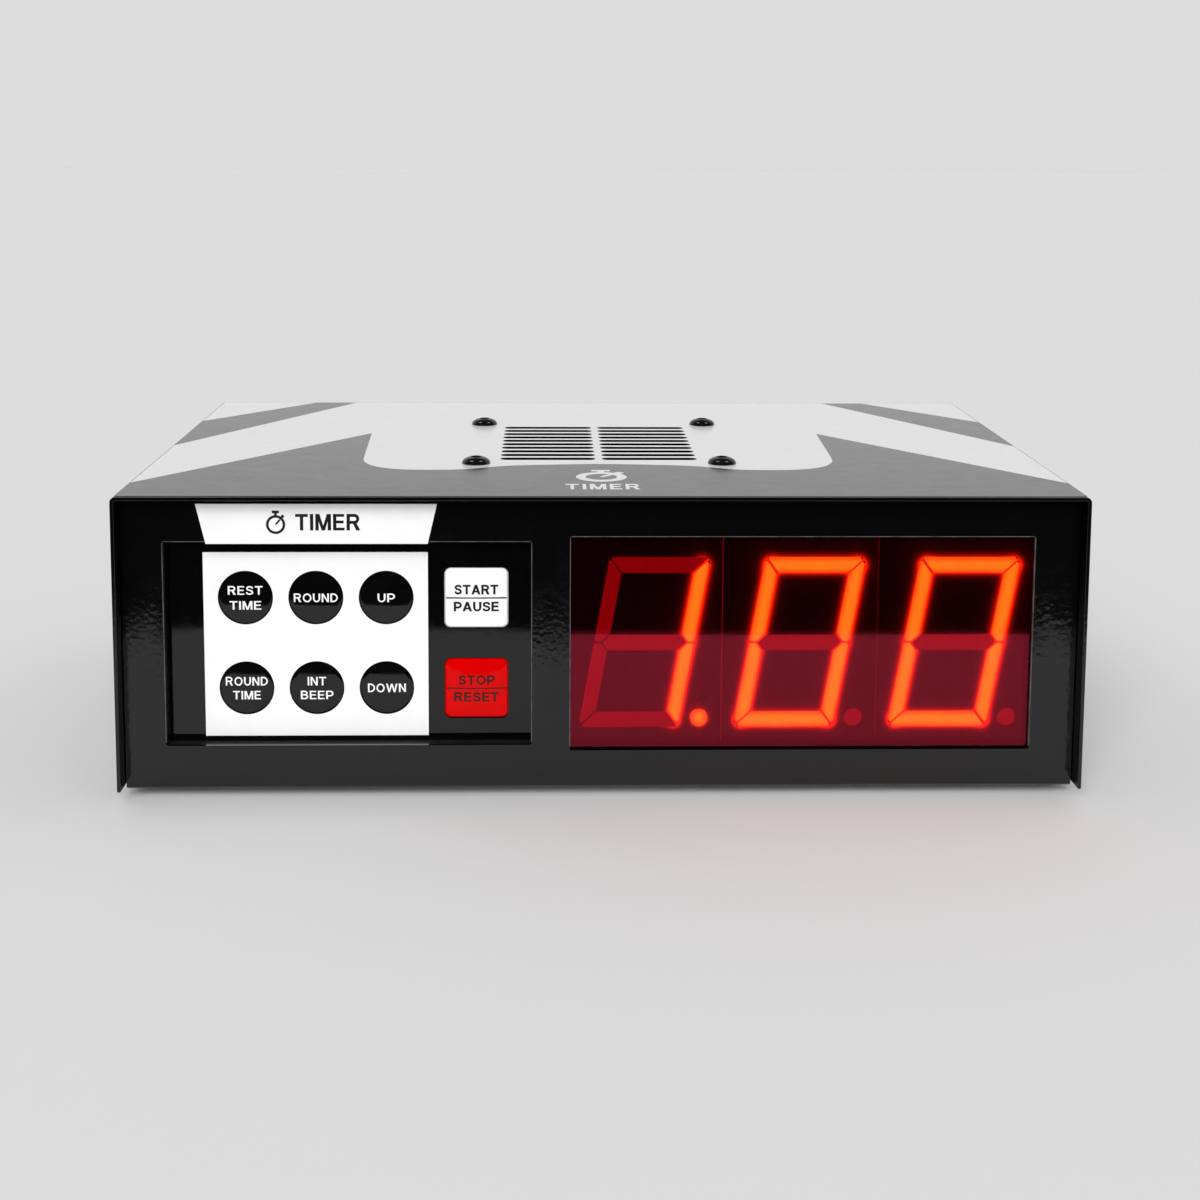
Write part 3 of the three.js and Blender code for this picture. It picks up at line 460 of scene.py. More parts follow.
def ramped(material, socket, fac, low, high, start=0.0, end=1.0):
    """Gives a socket a colour that runs from low to high as fac runs from start to end."""
    tree = material.node_tree
    ramp = add_node(tree, "ValToRGB", {"Fac": fac})["Color"]
    first, last = ramp.node.color_ramp.elements
    first.position, first.color = start, (*low, 1)
    last.position, last.color = end, (*high, 1)
    tree.links.new(ramp, shader_of(material).inputs[socket])


def mottled(material, color, size, detail=3.0, stretch=(1, 1, 1)):
    """Varies the base colour towards another one."""
    base = shader_of(material).inputs["Base Color"].default_value[:3]
    ramped(material, "Base Color", noise(material, size, detail, stretch), base, color, 0.35, 0.7)


def textured(name, color, roughness, bumps, patches, mottling=None, **sockets):
    """A finish with the values for bumpy (in a list), for uneven and, if it is mottled, for mottled."""
    material = finish(name, color, roughness, **sockets)
    for bump in bumps:
        bumpy(material, *bump)
    if mottling:
        mottled(material, *mottling)
    return uneven(material, *patches)


def printed_film(name, color, other):
    bumps = [(0.5, 0.0015), (24, 0.02, 1.0)]
    return textured(name, color, 0.2, bumps, (0.18, 0.22, 6), (other, 14), IOR=1.5, Specular_IOR_Level=0.42)


def gloss_film(name, color, other, wave=0.1, specular=0.5):
    """Gloss film or moulded gloss plastic, with slow waves and faint wipe marks."""
    bumps, wipes = [(38, wave, 0.0), (0.6, 0.0006)], (0.03, 0.09, 4, 4.0, (1, 1, 3))
    return textured(name, color, 0.05, bumps, wipes, (other, 5), IOR=1.5, Specular_IOR_Level=specular)


def grained_plastic(name, color, other, roughness):
    patches = (roughness - 0.06, roughness + 0.08, 2)
    return textured(name, color, roughness, [(0.35, 0.012, 1.0)], patches, (other, 3), IOR=1.48)


def cable(name, color, other):
    return textured(name, color, 0.45, [(0.5, 0.01, 1.0)], (0.38, 0.55, 2), (other, 4), IOR=1.5)


MATERIALS = {  # by the slots of the record, but for the windows' painted edge highlight
    "powder_coat": textured(
        "powder_coat", (0.0016, 0.0016, 0.0017), 0.12, [(1.8, 0.07, 1.0), (0.4, 0.002)], (0.08, 0.18, 9),
        IOR=1.53),
    "printed_film": printed_film("charcoal_film", (0.032, 0.032, 0.033), (0.038, 0.038, 0.039)),
    "label_white": printed_film("label_white", grey(0.86), grey(0.82)),
    # The lighter grey of the windows' cut edges is a painted highlight.
    "painted_edge_highlight": grained_plastic("painted_edge_highlight", grey(0.1), grey(0.04), 0.4),
    "black_screw": textured(
        "black_oxide", (0.003, 0.003, 0.0035), 0.14, [(0.25, 0.0015, 3.0)], (0.1, 0.2, 0.9),
        ((0.006, 0.006, 0.007), 1.2), IOR=1.5),
    "zinc": textured(
        "plated_steel", (0.5, 0.51, 0.53), 0.32, [(0.4, 0.003, 3.0, (1, 0.15, 1))], (0.26, 0.42, 2.5),
        ((0.4, 0.42, 0.46), 7), Metallic=1),
    "rubber": textured(
        "rubber", grey(0.018), 0.8, [(0.3, 0.02)], (0.7, 0.9, 1.5), ((0.03, 0.03, 0.029), 2),
        Sheen_Weight=0.15),
    "black_plastic": grained_plastic("black_plastic", (0.012, 0.012, 0.013), (0.02, 0.02, 0.021), 0.4),
    "overlay": gloss_film("overlay_film", (0.001, 0.001, 0.0011), grey(0.0016), 0.3),
    "clear_film": textured(
        "clear_film", (0.5, 0.52, 0.54), 0.25, [(3, 0.004)], (0.2, 0.35, 2), ((0.6, 0.62, 0.64), 4), IOR=1.5),
    "circuit_board": textured(  # green solder mask over tracks, with a fibre weave under it
        "circuit_board", (0.01, 0.09, 0.03), 0.3, [(0.7, 0.006, 1.0, (1, 1, 0.1))], (0.22, 0.4, 1.2),
        ((0.02, 0.16, 0.06), 2.2, 0.0, (1, 1, 0.12)), IOR=1.5),
    "black_key": gloss_film("black_key", (0.0012, 0.0012, 0.0013), grey(0.002)),
    "white_key": gloss_film("white_key", grey(0.88), grey(0.85)),
    "red_key": gloss_film("red_key", (0.62, 0, 0), (0.57, 0, 0), specular=0.12),
    "red_acrylic": textured(  # partly clear, and mirrored in red
        "red_acrylic", (0.003, 0, 0), 0.03, [(60, 0.1, 0.0)], (0.02, 0.05, 5, 4.0),
        IOR=3.2, Specular_Tint=(1, 0.06, 0.12, 1), Alpha=0.6),
    "tape": textured(
        "tape", grey(0.018), 0.9, [(0.25, 0.03)], (0.85, 0.97, 0.6), ((0.035, 0.035, 0.034), 0.8)),
    "digit_case": grained_plastic("digit_case", (0.006, 0.004, 0.004), (0.012, 0.008, 0.008), 0.5),
    "paper_cone": textured(
        "paper_cone", (0.016, 0.016, 0.015), 0.85, [(0.9, 0.05, 4.0)], (0.75, 0.95, 1.4),
        ((0.03, 0.029, 0.027), 1.5, 4.0), Sheen_Weight=0.1),
    "ferrite": textured(
        "ferrite", (0.03, 0.03, 0.033), 0.6, [(0.5, 0.012, 4.0)], (0.45, 0.7, 1.2), ((0.05, 0.05, 0.055), 2),
        IOR=1.9),
    "knob_plastic": grained_plastic("knob_plastic", (0.014, 0.014, 0.015), (0.022, 0.022, 0.024), 0.5),
    "grey_cable": cable("grey_cable", (0.3, 0.31, 0.33), (0.36, 0.37, 0.39)),
    "black_cable": cable("black_cable", grey(0.014), grey(0.024)),
}
WHITE_INK = printed_film("white_ink", grey(0.86), grey(0.82))
# The top print's white is darker than the white ink on the front: painted shade, for the top being less lit
# than the front.
SHADED_TOP_WHITE = printed_film("shaded_top_white", grey(0.77), grey(0.76))
BLACK_INK = printed_film("black_ink", grey(0.012), grey(0.02))
DARK_RED_INK = printed_film("dark_red_ink", (0.045, 0, 0), (0.06, 0, 0))


# ---- Pieces ----

def piece(name, mesh, slot, body="housing", node=None, material=None, edge=0.0):
    """Makes a mesh a piece of the timer, in place of a CAD node if one is given. edge is a bevel's width."""
    mesh.transform(Matrix.Scale(MM, 4))
    mesh.name = name
    mesh.materials.clear()
    mesh.materials.append(material or MATERIALS[slot])
    mesh.shade_smooth()
    mesh.set_sharp_from_angle(angle=SMOOTH_ANGLE)
    thing = placed(name, mesh)
    if edge:
        bevel = thing.modifiers.new("edges", "BEVEL")
        bevel.width = edge * MM
        bevel.segments = 2
        bevel.limit_method = "ANGLE"
        bevel.angle_limit = SMOOTH_ANGLE
        bevel.harden_normals = True
    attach(thing, body)
    if node:
        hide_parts(node)


# ---- Cover ----

def vent_slots(clearance=0.0):
    slots = []
    for column in range(VENT["columns"]):
        for row in range(VENT["rows"]):
            x = (column - (VENT["columns"] - 1) / 2) * VENT["column_pitch"]
            y = SPEAKER.y + (row - (VENT["rows"] - 1) / 2) * VENT["pitch"]
            length, width = VENT["length"] + 2 * clearance, VENT["width"] + 2 * clearance
            slots.append(rectangle(x, y, length, width, width / 2))
    return slots


def screw_holes(clearance=0.0):
    places = [middle(f"speaker_screw_{depth}_{side}") for side, depth in CORNERS]
    return [circle(place.x, place.y, VENT_SCREW["hole"] + clearance, 32) for place in places]


def side_holes():
    """Round bars through both sides, where the cover's screws are."""
    reach = COVER[1].x + 1
    places = [middle(f"cover_screw_{depth}_left") for depth in ("front", "rear")]
    bars = [prism(circle(place.y, place.z, SIDE_SCREW["hole"], 24), -reach, reach) for place in places]
    return [moved(bar, SIDEWAYS) for bar in bars]


def top_cover():
    low, high = COVER
    right, inner, top = high.x, high.x - SHEET, high.z
    section = rounded([
        (right, low.z, SHEET / 3), (right, top, BEND), (-right, top, BEND), (-right, low.z, SHEET / 3),
        (-inner, low.z, SHEET / 3), (-inner, top - SHEET, BEND - SHEET), (inner, top - SHEET, BEND - SHEET),
        (inner, low.z, SHEET / 3),
    ], 5)
    rings = []
    rim = [(RIM * (1 - sin(radians(a))), RIM * (1 - cos(radians(a)))) for a in (0, 30, 60, 90)]
    for end, inwards in ((-high.y, 1), (-low.y, -1)):
        levels = [[(*p, end + inwards * back) for p in moved_in(section, inset)] for inset, back in rim]
        rings += levels if inwards > 0 else levels[::-1]
    shell = moved(stacked(rings), FRONTWARD)
    cutters = [prism(hole, top - 2 * SHEET, top + SHEET) for hole in [*vent_slots(), *screw_holes()]]
    piece("cover_shell", combined(shell, [*cutters, *side_holes()]), "powder_coat", node="top_cover")


def decal_print():
    """The white areas of the top print: the middle with its two wings, and the two rear corners."""
    edge, front = 0.3, COVER[0].y  # edge is the dark rim around the print
    right, rear = DECAL[1].x - edge, DECAL[1].y - front - edge
    wing = [(97.5, rear), (right, 94.6), (right, 23.3), (84, 122)]
    waist = [(82, 73), (80.8, 61.5), (75.5, 52), (65, 47), (47, 47.5), (29.5, 54.7), (0, 58)]
    half = [Vector(point) for point in wing] + curve_through([Vector(point) for point in waist])
    half += [Vector((-point.x, point.y)) for point in half[-2::-1]]
    corner = [Vector((right, 150.7)), Vector((right, rear)), Vector((114.3, rear))]
    outlines = [half[::-1], corner, [Vector((-point.x, point.y)) for point in corner[::-1]]]
    return [[point + Vector((0, front)) for point in outline] for outline in outlines]


def top_decal():
    low, high = DECAL
    centre, size = (low + high) / 2, high - low
    holes = [*vent_slots(0.25), *screw_holes(0.3)]
    film = plate(rectangle(centre.x, centre.y, size.x, size.y, 1), low.z, high.z - INK, holes)
    piece("decal_film", film, "printed_film", node="top_decal")
    main, *corners = decal_print()
    white = joined(
        plate(main, high.z - INK, high.z, [*vent_slots(0.4), *screw_holes(0.5)]),
        *[prism(corner, high.z - INK, high.z) for corner in corners],
    )
    piece("decal_print", white, "printed_film", material=SHADED_TOP_WHITE)
    front, face = COVER[0].y, high.z - INK / 2
    mark = joined(
        moved(stopwatch(21, 1.5), at(0, front + 36, face)),
        moved(lettering("TIMER", 24, 9, gap=2.2), at(0, front + 17, face)),
    )
    piece("decal_mark", mark, "printed_film", material=SHADED_TOP_WHITE)


def button_screw(head, length, size):
    """A button-head screw that points down, with its head's underside at Z = 0. head is its head's radius."""
    height, shank = size["height"], size["shank"]
    rim = 0.2 * height
    dome = []
    for k in range(9):
        angle = radians(10 * k)
        dome.append((head * cos(angle), rim + (height - rim) * sin(angle)))
    stem = [(shank - 0.4, -length), (shank, 0.4 - length), (shank, 0)]
    body = turned([*stem, (head - 0.15, 0), (head, 0.15), *dome], 48)
    return combined(body, [prism(circle(0, 0, size["socket"], 6), 0.35 * height, 2 * height)])


def screws():
    for side, depth in CORNERS:
        node = f"speaker_screw_{depth}_{side}"
        low, high = box(node)
        seat = high.z - VENT_SCREW["height"]
        screw = button_screw(half_width(node), seat - low.z, VENT_SCREW)
        moved(screw, at(middle(node).x, middle(node).y, seat))
        piece(f"vent_screw_{depth}_{side}", screw, "black_screw", node=node, edge=0.08)
    for side, depth in CORNERS:
        node = f"cover_screw_{depth}_{side}"
        low, high = box(node)
        screw = button_screw((high.z - low.z) / 2, SIDE_SCREW["length"], SIDE_SCREW)
        outwards = 1 if side == "right" else -1
        seat = outwards * (max(-low.x, high.x) - SIDE_SCREW["height"])
        moved(screw, Matrix.Rotation(outwards * pi / 2, 4, "Y"), at(seat, middle(node).y, middle(node).z))
        piece(f"side_screw_{depth}_{side}", screw, "black_screw", node=node, edge=0.08)


# ---- Chassis ----

def window_edge_highlight(node, first, last):
    """A painted highlight along a window's cut edge: a fine light line on its top and sides, and none on its
    bottom, which shows dark.
    """
    wide = WINDOW["edge"]
    low, high = first.z + 1, last.z - wide
    bars = [
        slab(first.x, last.x, high, last.z),
        slab(first.x, first.x + wide, low, high),
        slab(last.x - wide, last.x, low, high),
    ]
    edge = joined(*[facing(bar, PANEL + 0.1, PANEL + SHEET) for bar in bars])
    piece(f"{node}_window_edge_highlight", edge, "powder_coat", material=MATERIALS["painted_edge_highlight"])


def chassis():
    low, high = CHASSIS
    inner = BEND - SHEET
    section = rounded([
        (low.y + FLANGE, high.z, 0), (low.y, high.z, BEND), (low.y, low.z, BEND),
        (high.y, low.z, BEND), (high.y, high.z, BEND), (high.y - FLANGE, high.z, 0),
        (high.y - FLANGE, high.z - SHEET, 0), (high.y - SHEET, high.z - SHEET, inner),
        (high.y - SHEET, low.z + SHEET, inner), (low.y + SHEET, low.z + SHEET, inner),
        (low.y + SHEET, high.z - SHEET, inner), (low.y + FLANGE, high.z - SHEET, 0),
    ])
    tray = moved(prism(section, low.x, high.x), SIDEWAYS)
    lips = []
    for side in (-1, 1):
        x, length = side * (high.x - SHEET / 2), high.y - low.y - 2 * LIP["short"]
        outline = rectangle(x, middle("chassis").y, SHEET, length)
        lips.append(prism(outline, low.z + SHEET / 2, low.z + LIP["height"]))
    tray = combined(tray, lips, "UNION")
    cutters = side_holes()
    for node in ("keypad_frame", "display_lens"):
        first, last = window(node)
        opening = front_of(first, last, WINDOW["radius"])
        cutters.append(moved(prism(opening, -PANEL - 2 * SHEET, -PANEL + SHEET), FRONTWARD))
        window_edge_highlight(node, first, last)
    jack, shaft, switch = middle("dc_jack"), middle("volume_knob"), middle("power_switch")
    holes = [
        circle(jack.x, jack.z, REAR_HOLES["jack"]),
        circle(shaft.x, shaft.z, REAR_HOLES["shaft"]),
        rectangle(switch.x, switch.z, *REAR_HOLES["switch"]),
    ]
    for hole in holes:
        cutters.append(moved(prism(hole, -REAR - SHEET, -REAR + 2 * SHEET), FRONTWARD))
    piece("chassis_tray", combined(tray, cutters), "powder_coat", node="chassis", edge=0.18)


def feet():
    for side, depth in CORNERS:
        node = f"foot_{depth}_{side}"
        low, high = box(node)
        radius = half_width(node)
        profile = [(radius - 1, 0), (radius - 0.6, 0.15), (radius - 0.2, 0.5), (radius, 1), (radius, high.z)]
        foot = moved(turned(profile), at(middle(node).x, middle(node).y, low.z))
        piece(f"rubber_foot_{depth}_{side}", foot, "rubber", node=node, edge=0.15)


def header_label():
    low, high = [corner + Vector((0, 0, LABEL_RISE)) for corner in box("header_label")]
    left, right = 3.1, 3  # how much its ends slant
    corners = [(low.x + left, low.z), (high.x - right, low.z), (high.x, high.z), (low.x, high.z)]
    label = facing(rounded([(x, z, 0.15) for x, z in corners]), low.y + INK, high.y)
    piece("brand_label", label, "label_white", node="header_label", edge=0.05)
    place = at(0, low.y + INK / 2, low.z + 7)
    centre = (low.x + high.x) / 2
    mark = joined(
        moved(stopwatch(7.6), FRONTWARD, place, at(centre - 12.8, 0, 0)),
        moved(lettering("TIMER", 20.5, 5.3), FRONTWARD, place, at(centre + 3.6, 0, 0)),
    )
    piece("label_mark", mark, "label_white", material=BLACK_INK)


# ---- Keypad ----

def key_ring(node, inset):
    """The outline of a key moved in by a distance. Every ring of a key has as many points."""
    low, high = box(node)
    centre = middle(node)
    reach = half_width(node) - KEY["overhang"] - inset
    if node in ROUND_KEYS:
        return circle(centre.x, centre.z, reach, 72)
    height = (high.z - low.z) / 2 - KEY["overhang"] - inset
    return rectangle(centre.x, centre.z, 2 * reach, 2 * height, max(KEY["corner"] - inset, 0.35), 17)


def key_face(node):
    """The crowned face of a key: a function that gives, at an X and Z, how far forwards (-Y) it lies."""
    centre, front, reach = middle(node), box(node)[0].y, half_width(node)

    def surface(x, z):
        return -front - KEY["crown"] * ((x - centre.x) ** 2 + (z - centre.z) ** 2) / reach**2

    return surface


def key_solid(node):
    """A key: its stem, the flange behind the overlay, and its crowned cap, from the rear to the front."""
    centre, rear = middle(node), box(node)[1].y
    surface = key_face(node)
    stem = half_width(node) - KEY["overhang"] - KEY["stem"]
    flange_front, flange_rear = [PANEL + behind for behind in KEY_FLANGE]
    past = -KEY["overhang"]
    levels = [(stem, rear), (stem, flange_rear), (past, flange_rear), (past, flange_front)]
    rings = [[(x, z, -y) for x, z in key_ring(node, inset)] for inset, y in [*levels, (0, flange_front)]]
    for k in range(5):
        angle = radians(22.5 * k)
        inset, drop = KEY["edge"] * (1 - cos(angle)), KEY["edge"] * (1 - sin(angle))
        rings.append([(x, z, surface(x, z) - drop) for x, z in key_ring(node, inset)])
    for k in range(1, 10):
        places = [centre.xz.lerp(point, 1 - k / 10) for point in key_ring(node, KEY["edge"])]
        rings.append([(x, z, surface(x, z)) for x, z in places])
    return moved(stacked(rings), FRONTWARD)


def on_key(node, *meshes):
    """Print on a key's face: meshes drawn about its centre."""
    centre, surface = middle(node), key_face(node)
    ink = moved(joined(*meshes), at(centre.x, centre.z, INK))
    for vertex in ink.vertices:
        vertex.co.z += surface(vertex.co.x, vertex.co.y)
    return moved(ink, FRONTWARD)


def keys():
    looks = {"key_start_pause": ("white_key", BLACK_INK), "key_stop_reset": ("red_key", DARK_RED_INK)}
    for node, legend in LEGENDS.items():
        slot, ink = looks.get(node, ("black_key", WHITE_INK))
        name = node.removeprefix("key_")
        piece(f"{name}_key", key_solid(node), slot, body=node, node=node)
        height, weight = (3.05, 0.35) if node in SQUARE_KEYS else (2.9, -0.3)
        lines = [moved(lettering(text, width, height, weight), at(0, z, 0)) for text, width, z in legend]
        if node in SQUARE_KEYS:
            reach = half_width(node) - KEY["overhang"] - KEY["edge"]
            lines.append(ribbon([Vector((reach * k / 12, 0)) for k in range(-12, 13)], 0.42))
        piece(f"{name}_legend", on_key(node, *lines), slot, body=node, material=ink)


def keypad():
    low, high = box("keypad_frame")
    first, last = window("keypad_frame")
    centre, opening = (low + high) / 2, last - first
    outer = front_of(low, high, 2)
    inner = rectangle(centre.x, centre.z, opening.x + 0.6, opening.z + 0.6, WINDOW["radius"])
    rear = PANEL + SURROUND
    reach_x, reach_z = opening.x / 2 + PIN["outside"], opening.z / 2 + PIN["outside"]
    places = [(centre.x + x * reach_x, centre.z + z * reach_z) for x in (-1, 1) for z in (-1, 1)]
    pins = [facing(circle(*place, PIN["radius"], 24), rear - 1, high.y) for place in places]
    surround = combined(facing(outer, low.y, rear, [inner]), pins, "UNION")
    piece("keypad_surround", surround, "black_plastic", node="keypad_frame", edge=0.12)

    low, high = box("keypad_overlay")
    holes = [key_ring(node, -KEY["hole"]) for node in LEGENDS]
    holes += [circle(*place, PIN["hole"], 24) for place in places]
    piece("overlay_sheet", facing(outer, low.y, high.y, holes), "overlay", node="keypad_overlay", edge=0.06)
    centre = (middle("key_rest_time") + middle("key_down")) / 2
    field = rectangle(centre.x, centre.z - FIELD["drop"], FIELD["width"], FIELD["height"])
    round_holes = [key_ring(node, -KEY["hole"] - 0.05) for node in ROUND_KEYS]
    piece("overlay_print", facing(field, low.y - INK, low.y, round_holes), "overlay", material=WHITE_INK)


# ---- Display ----

def segment_outlines():
    """The seven segments a to g about the middle of the character, as convex outlines."""
    x, z = DIGIT["width"] / 2, DIGIT["height"] / 2
    inner, bar, half = x - DIGIT["upright"], DIGIT["bar"], DIGIT["bar"] / 2
    tip = x - DIGIT["upright"] / 2
    top = [(-x, z), (-inner, z - bar), (inner, z - bar), (x, z)]
    side = [(x, 0), (x, z), (inner, z - bar), (inner, half), (tip, 0)]
    bar_g = [(-tip, 0), (-inner, -half), (inner, -half), (tip, 0), (inner, half), (-inner, half)]

    def mirror(points, across, up):
        flipped = [(px * across, pz * up) for px, pz in points]
        return flipped if across * up > 0 else flipped[::-1]

    outlines = {
        "a": top, "b": side, "c": mirror(side, 1, -1), "d": mirror(top, 1, -1),
        "e": mirror(side, -1, -1), "f": mirror(side, -1, 1), "g": bar_g,
    }
    slant = DIGIT["slant"]
    return {name: [Vector((px + pz * slant, pz)) for px, pz in points] for name, points in outlines.items()}


def segment_shapes(centre, inset):
    """The outlines of a digit's segments and point, in place and moved in by a distance."""
    shapes = {}
    for name, outline in segment_outlines().items():
        corners = [(p.x + centre.x, p.y + centre.z, 0.5) for p in moved_in(outline, inset)]
        shapes[name] = rounded(corners, 3)
    radius = POINT["radius"] + BAR_INSET - inset
    shapes["."] = circle(centre.x + POINT["x"], centre.z + POINT["z"], radius, 32)
    return shapes


def segment_lines(centre):
    """The middle line of each segment and of the point, as two ends in X and Z."""
    x, z = (DIGIT["width"] - DIGIT["upright"]) / 2, (DIGIT["height"] - DIGIT["bar"]) / 2
    ends = {
        "a": ((-x, z), (x, z)), "b": ((x, z), (x, 1)), "c": ((x, -1), (x, -z)), "d": ((-x, -z), (x, -z)),
        "e": ((-x, -1), (-x, -z)), "f": ((-x, z), (-x, 1)), "g": ((-x, 0), (x, 0)),
    }
    lines = {}
    for name, pair in ends.items():
        lines[name] = [Vector((centre.x + px + pz * DIGIT["slant"], 0, centre.z + pz)) for px, pz in pair]
    point = Vector((centre.x + POINT["x"], 0, centre.z + POINT["z"]))
    lines["."] = [point, point + Vector((0.01, 0, 0))]  # not of length 0, which distances() divides by
    return lines


def distances(material, lines):
    """The distance in millimetres to each of some lines, measured in X and Z."""
    tree = material.node_tree
    place = add_node(tree, "TexCoord", {})["Object"]
    flat = vector_node(tree, "MULTIPLY", place, (1 / MM, 0, 1 / MM))
    found = []
    for start, end in lines:
        along = end - start
        away = vector_node(tree, "SUBTRACT", flat, start)
        share = vector_node(tree, "DOT_PRODUCT", away, along / along.length_squared)
        share = math_node(tree, "MINIMUM", math_node(tree, "MAXIMUM", share, 0.0), 1.0)
        nearest = vector_node(tree, "SCALE", along, share)
        found.append(vector_node(tree, "LENGTH", vector_node(tree, "SUBTRACT", away, nearest)))
    return found


def lit_diffuser(number, lines):
    """A lit segment: orange in its middle and red at its rim."""
    material = finish(f"lit_diffuser_{number}", (0.5, 0.05, 0.02), 0.35, Emission_Strength=1)
    tree = material.node_tree
    nearest, *others = distances(material, lines)
    for other in others:
        nearest = math_node(tree, "MINIMUM", nearest, other)
    spread = math_node(tree, "DIVIDE", nearest, 0.6 * DIGIT["bar"])
    unevenness = math_node(tree, "MULTIPLY", noise(material, 6), 0.3)
    share = math_node(tree, "ADD", spread, unevenness)
    ramped(material, "Emission Color", share, (8.0, 1.15, 0.05), (6.5, 0.25, 0.02), start=0.36)
    return bumpy(material, 0.5, 0.004)


def unlit_diffuser():
    """An unlit segment, which carries a little of its neighbours' light."""
    material = finish("unlit_diffuser", (0.08, 0.002, 0.003), 0.35, Emission_Strength=1)
    ramped(material, "Emission Color", noise(material, 9), (1.15, 0.0, 0.008), (1.5, 0.0, 0.012))
    return bumpy(material, 0.5, 0.004)


def digit_face(number, lines):
    """The gloss black face of a digit, with the red halo that its lit segments throw on it."""
    material = finish(f"digit_face_{number}", (0.003, 0.001, 0.001), 0.2, Emission_Strength=1)
    tree = material.node_tree
    total = 0.0
    for distance in distances(material, lines):
        outside = math_node(tree, "SUBTRACT", distance, DIGIT["bar"] / 2 - 0.4)
        near = math_node(tree, "EXPONENT", math_node(tree, "MULTIPLY", outside, -2.0))
        far = math_node(tree, "EXPONENT", math_node(tree, "MULTIPLY", outside, -0.28))
        term = math_node(tree, "MULTIPLY_ADD", far, 0.012, near)
        total = math_node(tree, "ADD", term, total)
    ramped(material, "Emission Color", total, grey(0), (7.0, 0.07, 0.008))
    return uneven(material, 0.15, 0.3, 6)


def digits():
    pitch = middle("digit_housing_2").x - middle("digit_housing_1").x
    for number, lit in LIT.items():
        node = f"digit_housing_{number}"
        low, high = box(node)
        size, centre = high - low, middle(node) - Vector((0, 0, DIGIT_LOW))
        lines = segment_lines(centre)
        lit_lines = [lines[name] for name in lit]
        web_low, web_high = low.y + DIGIT_WEB, box(f"digit_segments_{number}")[1].y
        outlines = segment_shapes(centre, BAR_INSET)
        bars = {name: facing(outline, low.y + 0.15, web_low + 0.05) for name, outline in outlines.items()}
        glowing = joined(*[bar for name, bar in bars.items() if name in lit])
        piece(f"lit_segments_{number}", glowing, "diffuser", material=lit_diffuser(number, lit_lines))

        def case(width, height):
            return rectangle(centre.x, centre.z + DIGIT_LOW, width, height, 0.4)

        web = facing(case(pitch - 0.1, size.z - 0.6), web_low, web_high)
        dark = joined(web, *[bar for name, bar in bars.items() if name not in lit])
        piece(f"unlit_segments_{number}", dark, "diffuser", node=f"digit_segments_{number}")
        pockets = list(segment_shapes(centre, POCKET_INSET).values())
        face = facing(case(pitch - 0.3, size.z), low.y, low.y + DIGIT_FACE, pockets)
        piece(f"digit_face_{number}", face, "digit_case", material=digit_face(number, lit_lines))
        hollow = case(size.x - 2 * DIGIT_WALL, size.z - 2 * DIGIT_WALL)
        walls = facing(case(size.x, size.z), web_high + 0.02, high.y, [hollow])
        piece(f"digit_case_{number}", walls, "digit_case", node=node)


def lens():
    low, high = box("display_lens")
    sheet = facing(front_of(low, high, 2), low.y, high.y)
    piece("red_lens", sheet, "red_acrylic", node="display_lens", edge=0.2)


# ---- Rear controls and loudspeaker ----

def refined(node):
    """A CAD node's mesh, with its flat faces whole again."""
    thing = frame["nodes"][node]
    solid = bmesh.new()
    solid.from_mesh(thing.data)
    solid.transform(Matrix.Scale(1 / MM, 4) @ thing.matrix_world)
    bmesh.ops.remove_doubles(solid, verts=solid.verts, dist=1e-4)
    bmesh.ops.dissolve_limit(solid, angle_limit=radians(0.5), verts=solid.verts, edges=solid.edges)
    return cleaned(solid)


def knob():
    """A fluted knob with a rounded rim, and a white line that points up."""
    low, high = box("volume_knob")
    centre, reach, depth = middle("volume_knob"), half_width("volume_knob"), high.y - low.y
    profile = [(0, 0.6), (0.25, 0.15), (0.8, 0)]
    profile += [(depth - 2.2, 0.5), (depth - 1.2, 0.75), (depth - 0.5, 1.3), (depth - 0.1, 2.3)]
    rings = []
    for z, inset in profile:
        flute = 0.55 if 0.5 < z < depth - 1.5 else 0.15 if z < depth - 1 else 0
        ring = []
        for k in range(180):
            angle = radians(2 * k)
            radius = reach - inset - flute * (0.5 - 0.5 * cos(20 * angle)) ** 3
            ring.append((radius * cos(angle), radius * sin(angle), z))
        rings.append(ring)
    rings += [[(*point, depth - INK) for point in circle(0, 0, radius, 180)] for radius in (reach - 3.2, 2)]
    place = at(centre.x, low.y, centre.z)
    solid = moved(stacked(rings), REARWARD, place)
    piece("fluted_knob", solid, "knob_plastic", body="volume_knob", node="volume_knob")
    line = ribbon([Vector((0, -1.2)), Vector((0, -reach + 3.3))], 0.9)
    pointer = moved(line, at(0, 0, depth - INK / 2), REARWARD, place)
    piece("knob_pointer", pointer, "knob_plastic", body="volume_knob", material=WHITE_INK)


def dial():
    """Printed marks around the knob, which grow from its quiet end to its loud end."""
    centre, knob_radius = middle("volume_knob"), half_width("volume_knob")
    joint = next(joint for joint in frame["record"]["behaviour"]["joints"] if joint["name"] == "volume_turn")
    first, last = [radians(angle) for angle in joint["range_deg"]]
    marks = []
    for k in range(DIAL["marks"]):
        share = k / (DIAL["marks"] - 1)
        angle = first + share * (last - first)
        outwards = Vector((-sin(angle), -cos(angle)))
        inner, growth = knob_radius + DIAL["gap"], 0.6 + 0.4 * share
        line = [outwards * inner, outwards * (inner + DIAL["length"] * growth)]
        marks.append(ribbon(line, DIAL["width"] * growth))
    place = at(centre.x, REAR + INK / 2, centre.z)
    piece("volume_dial", moved(joined(*marks), REARWARD, place), "powder_coat", material=WHITE_INK)


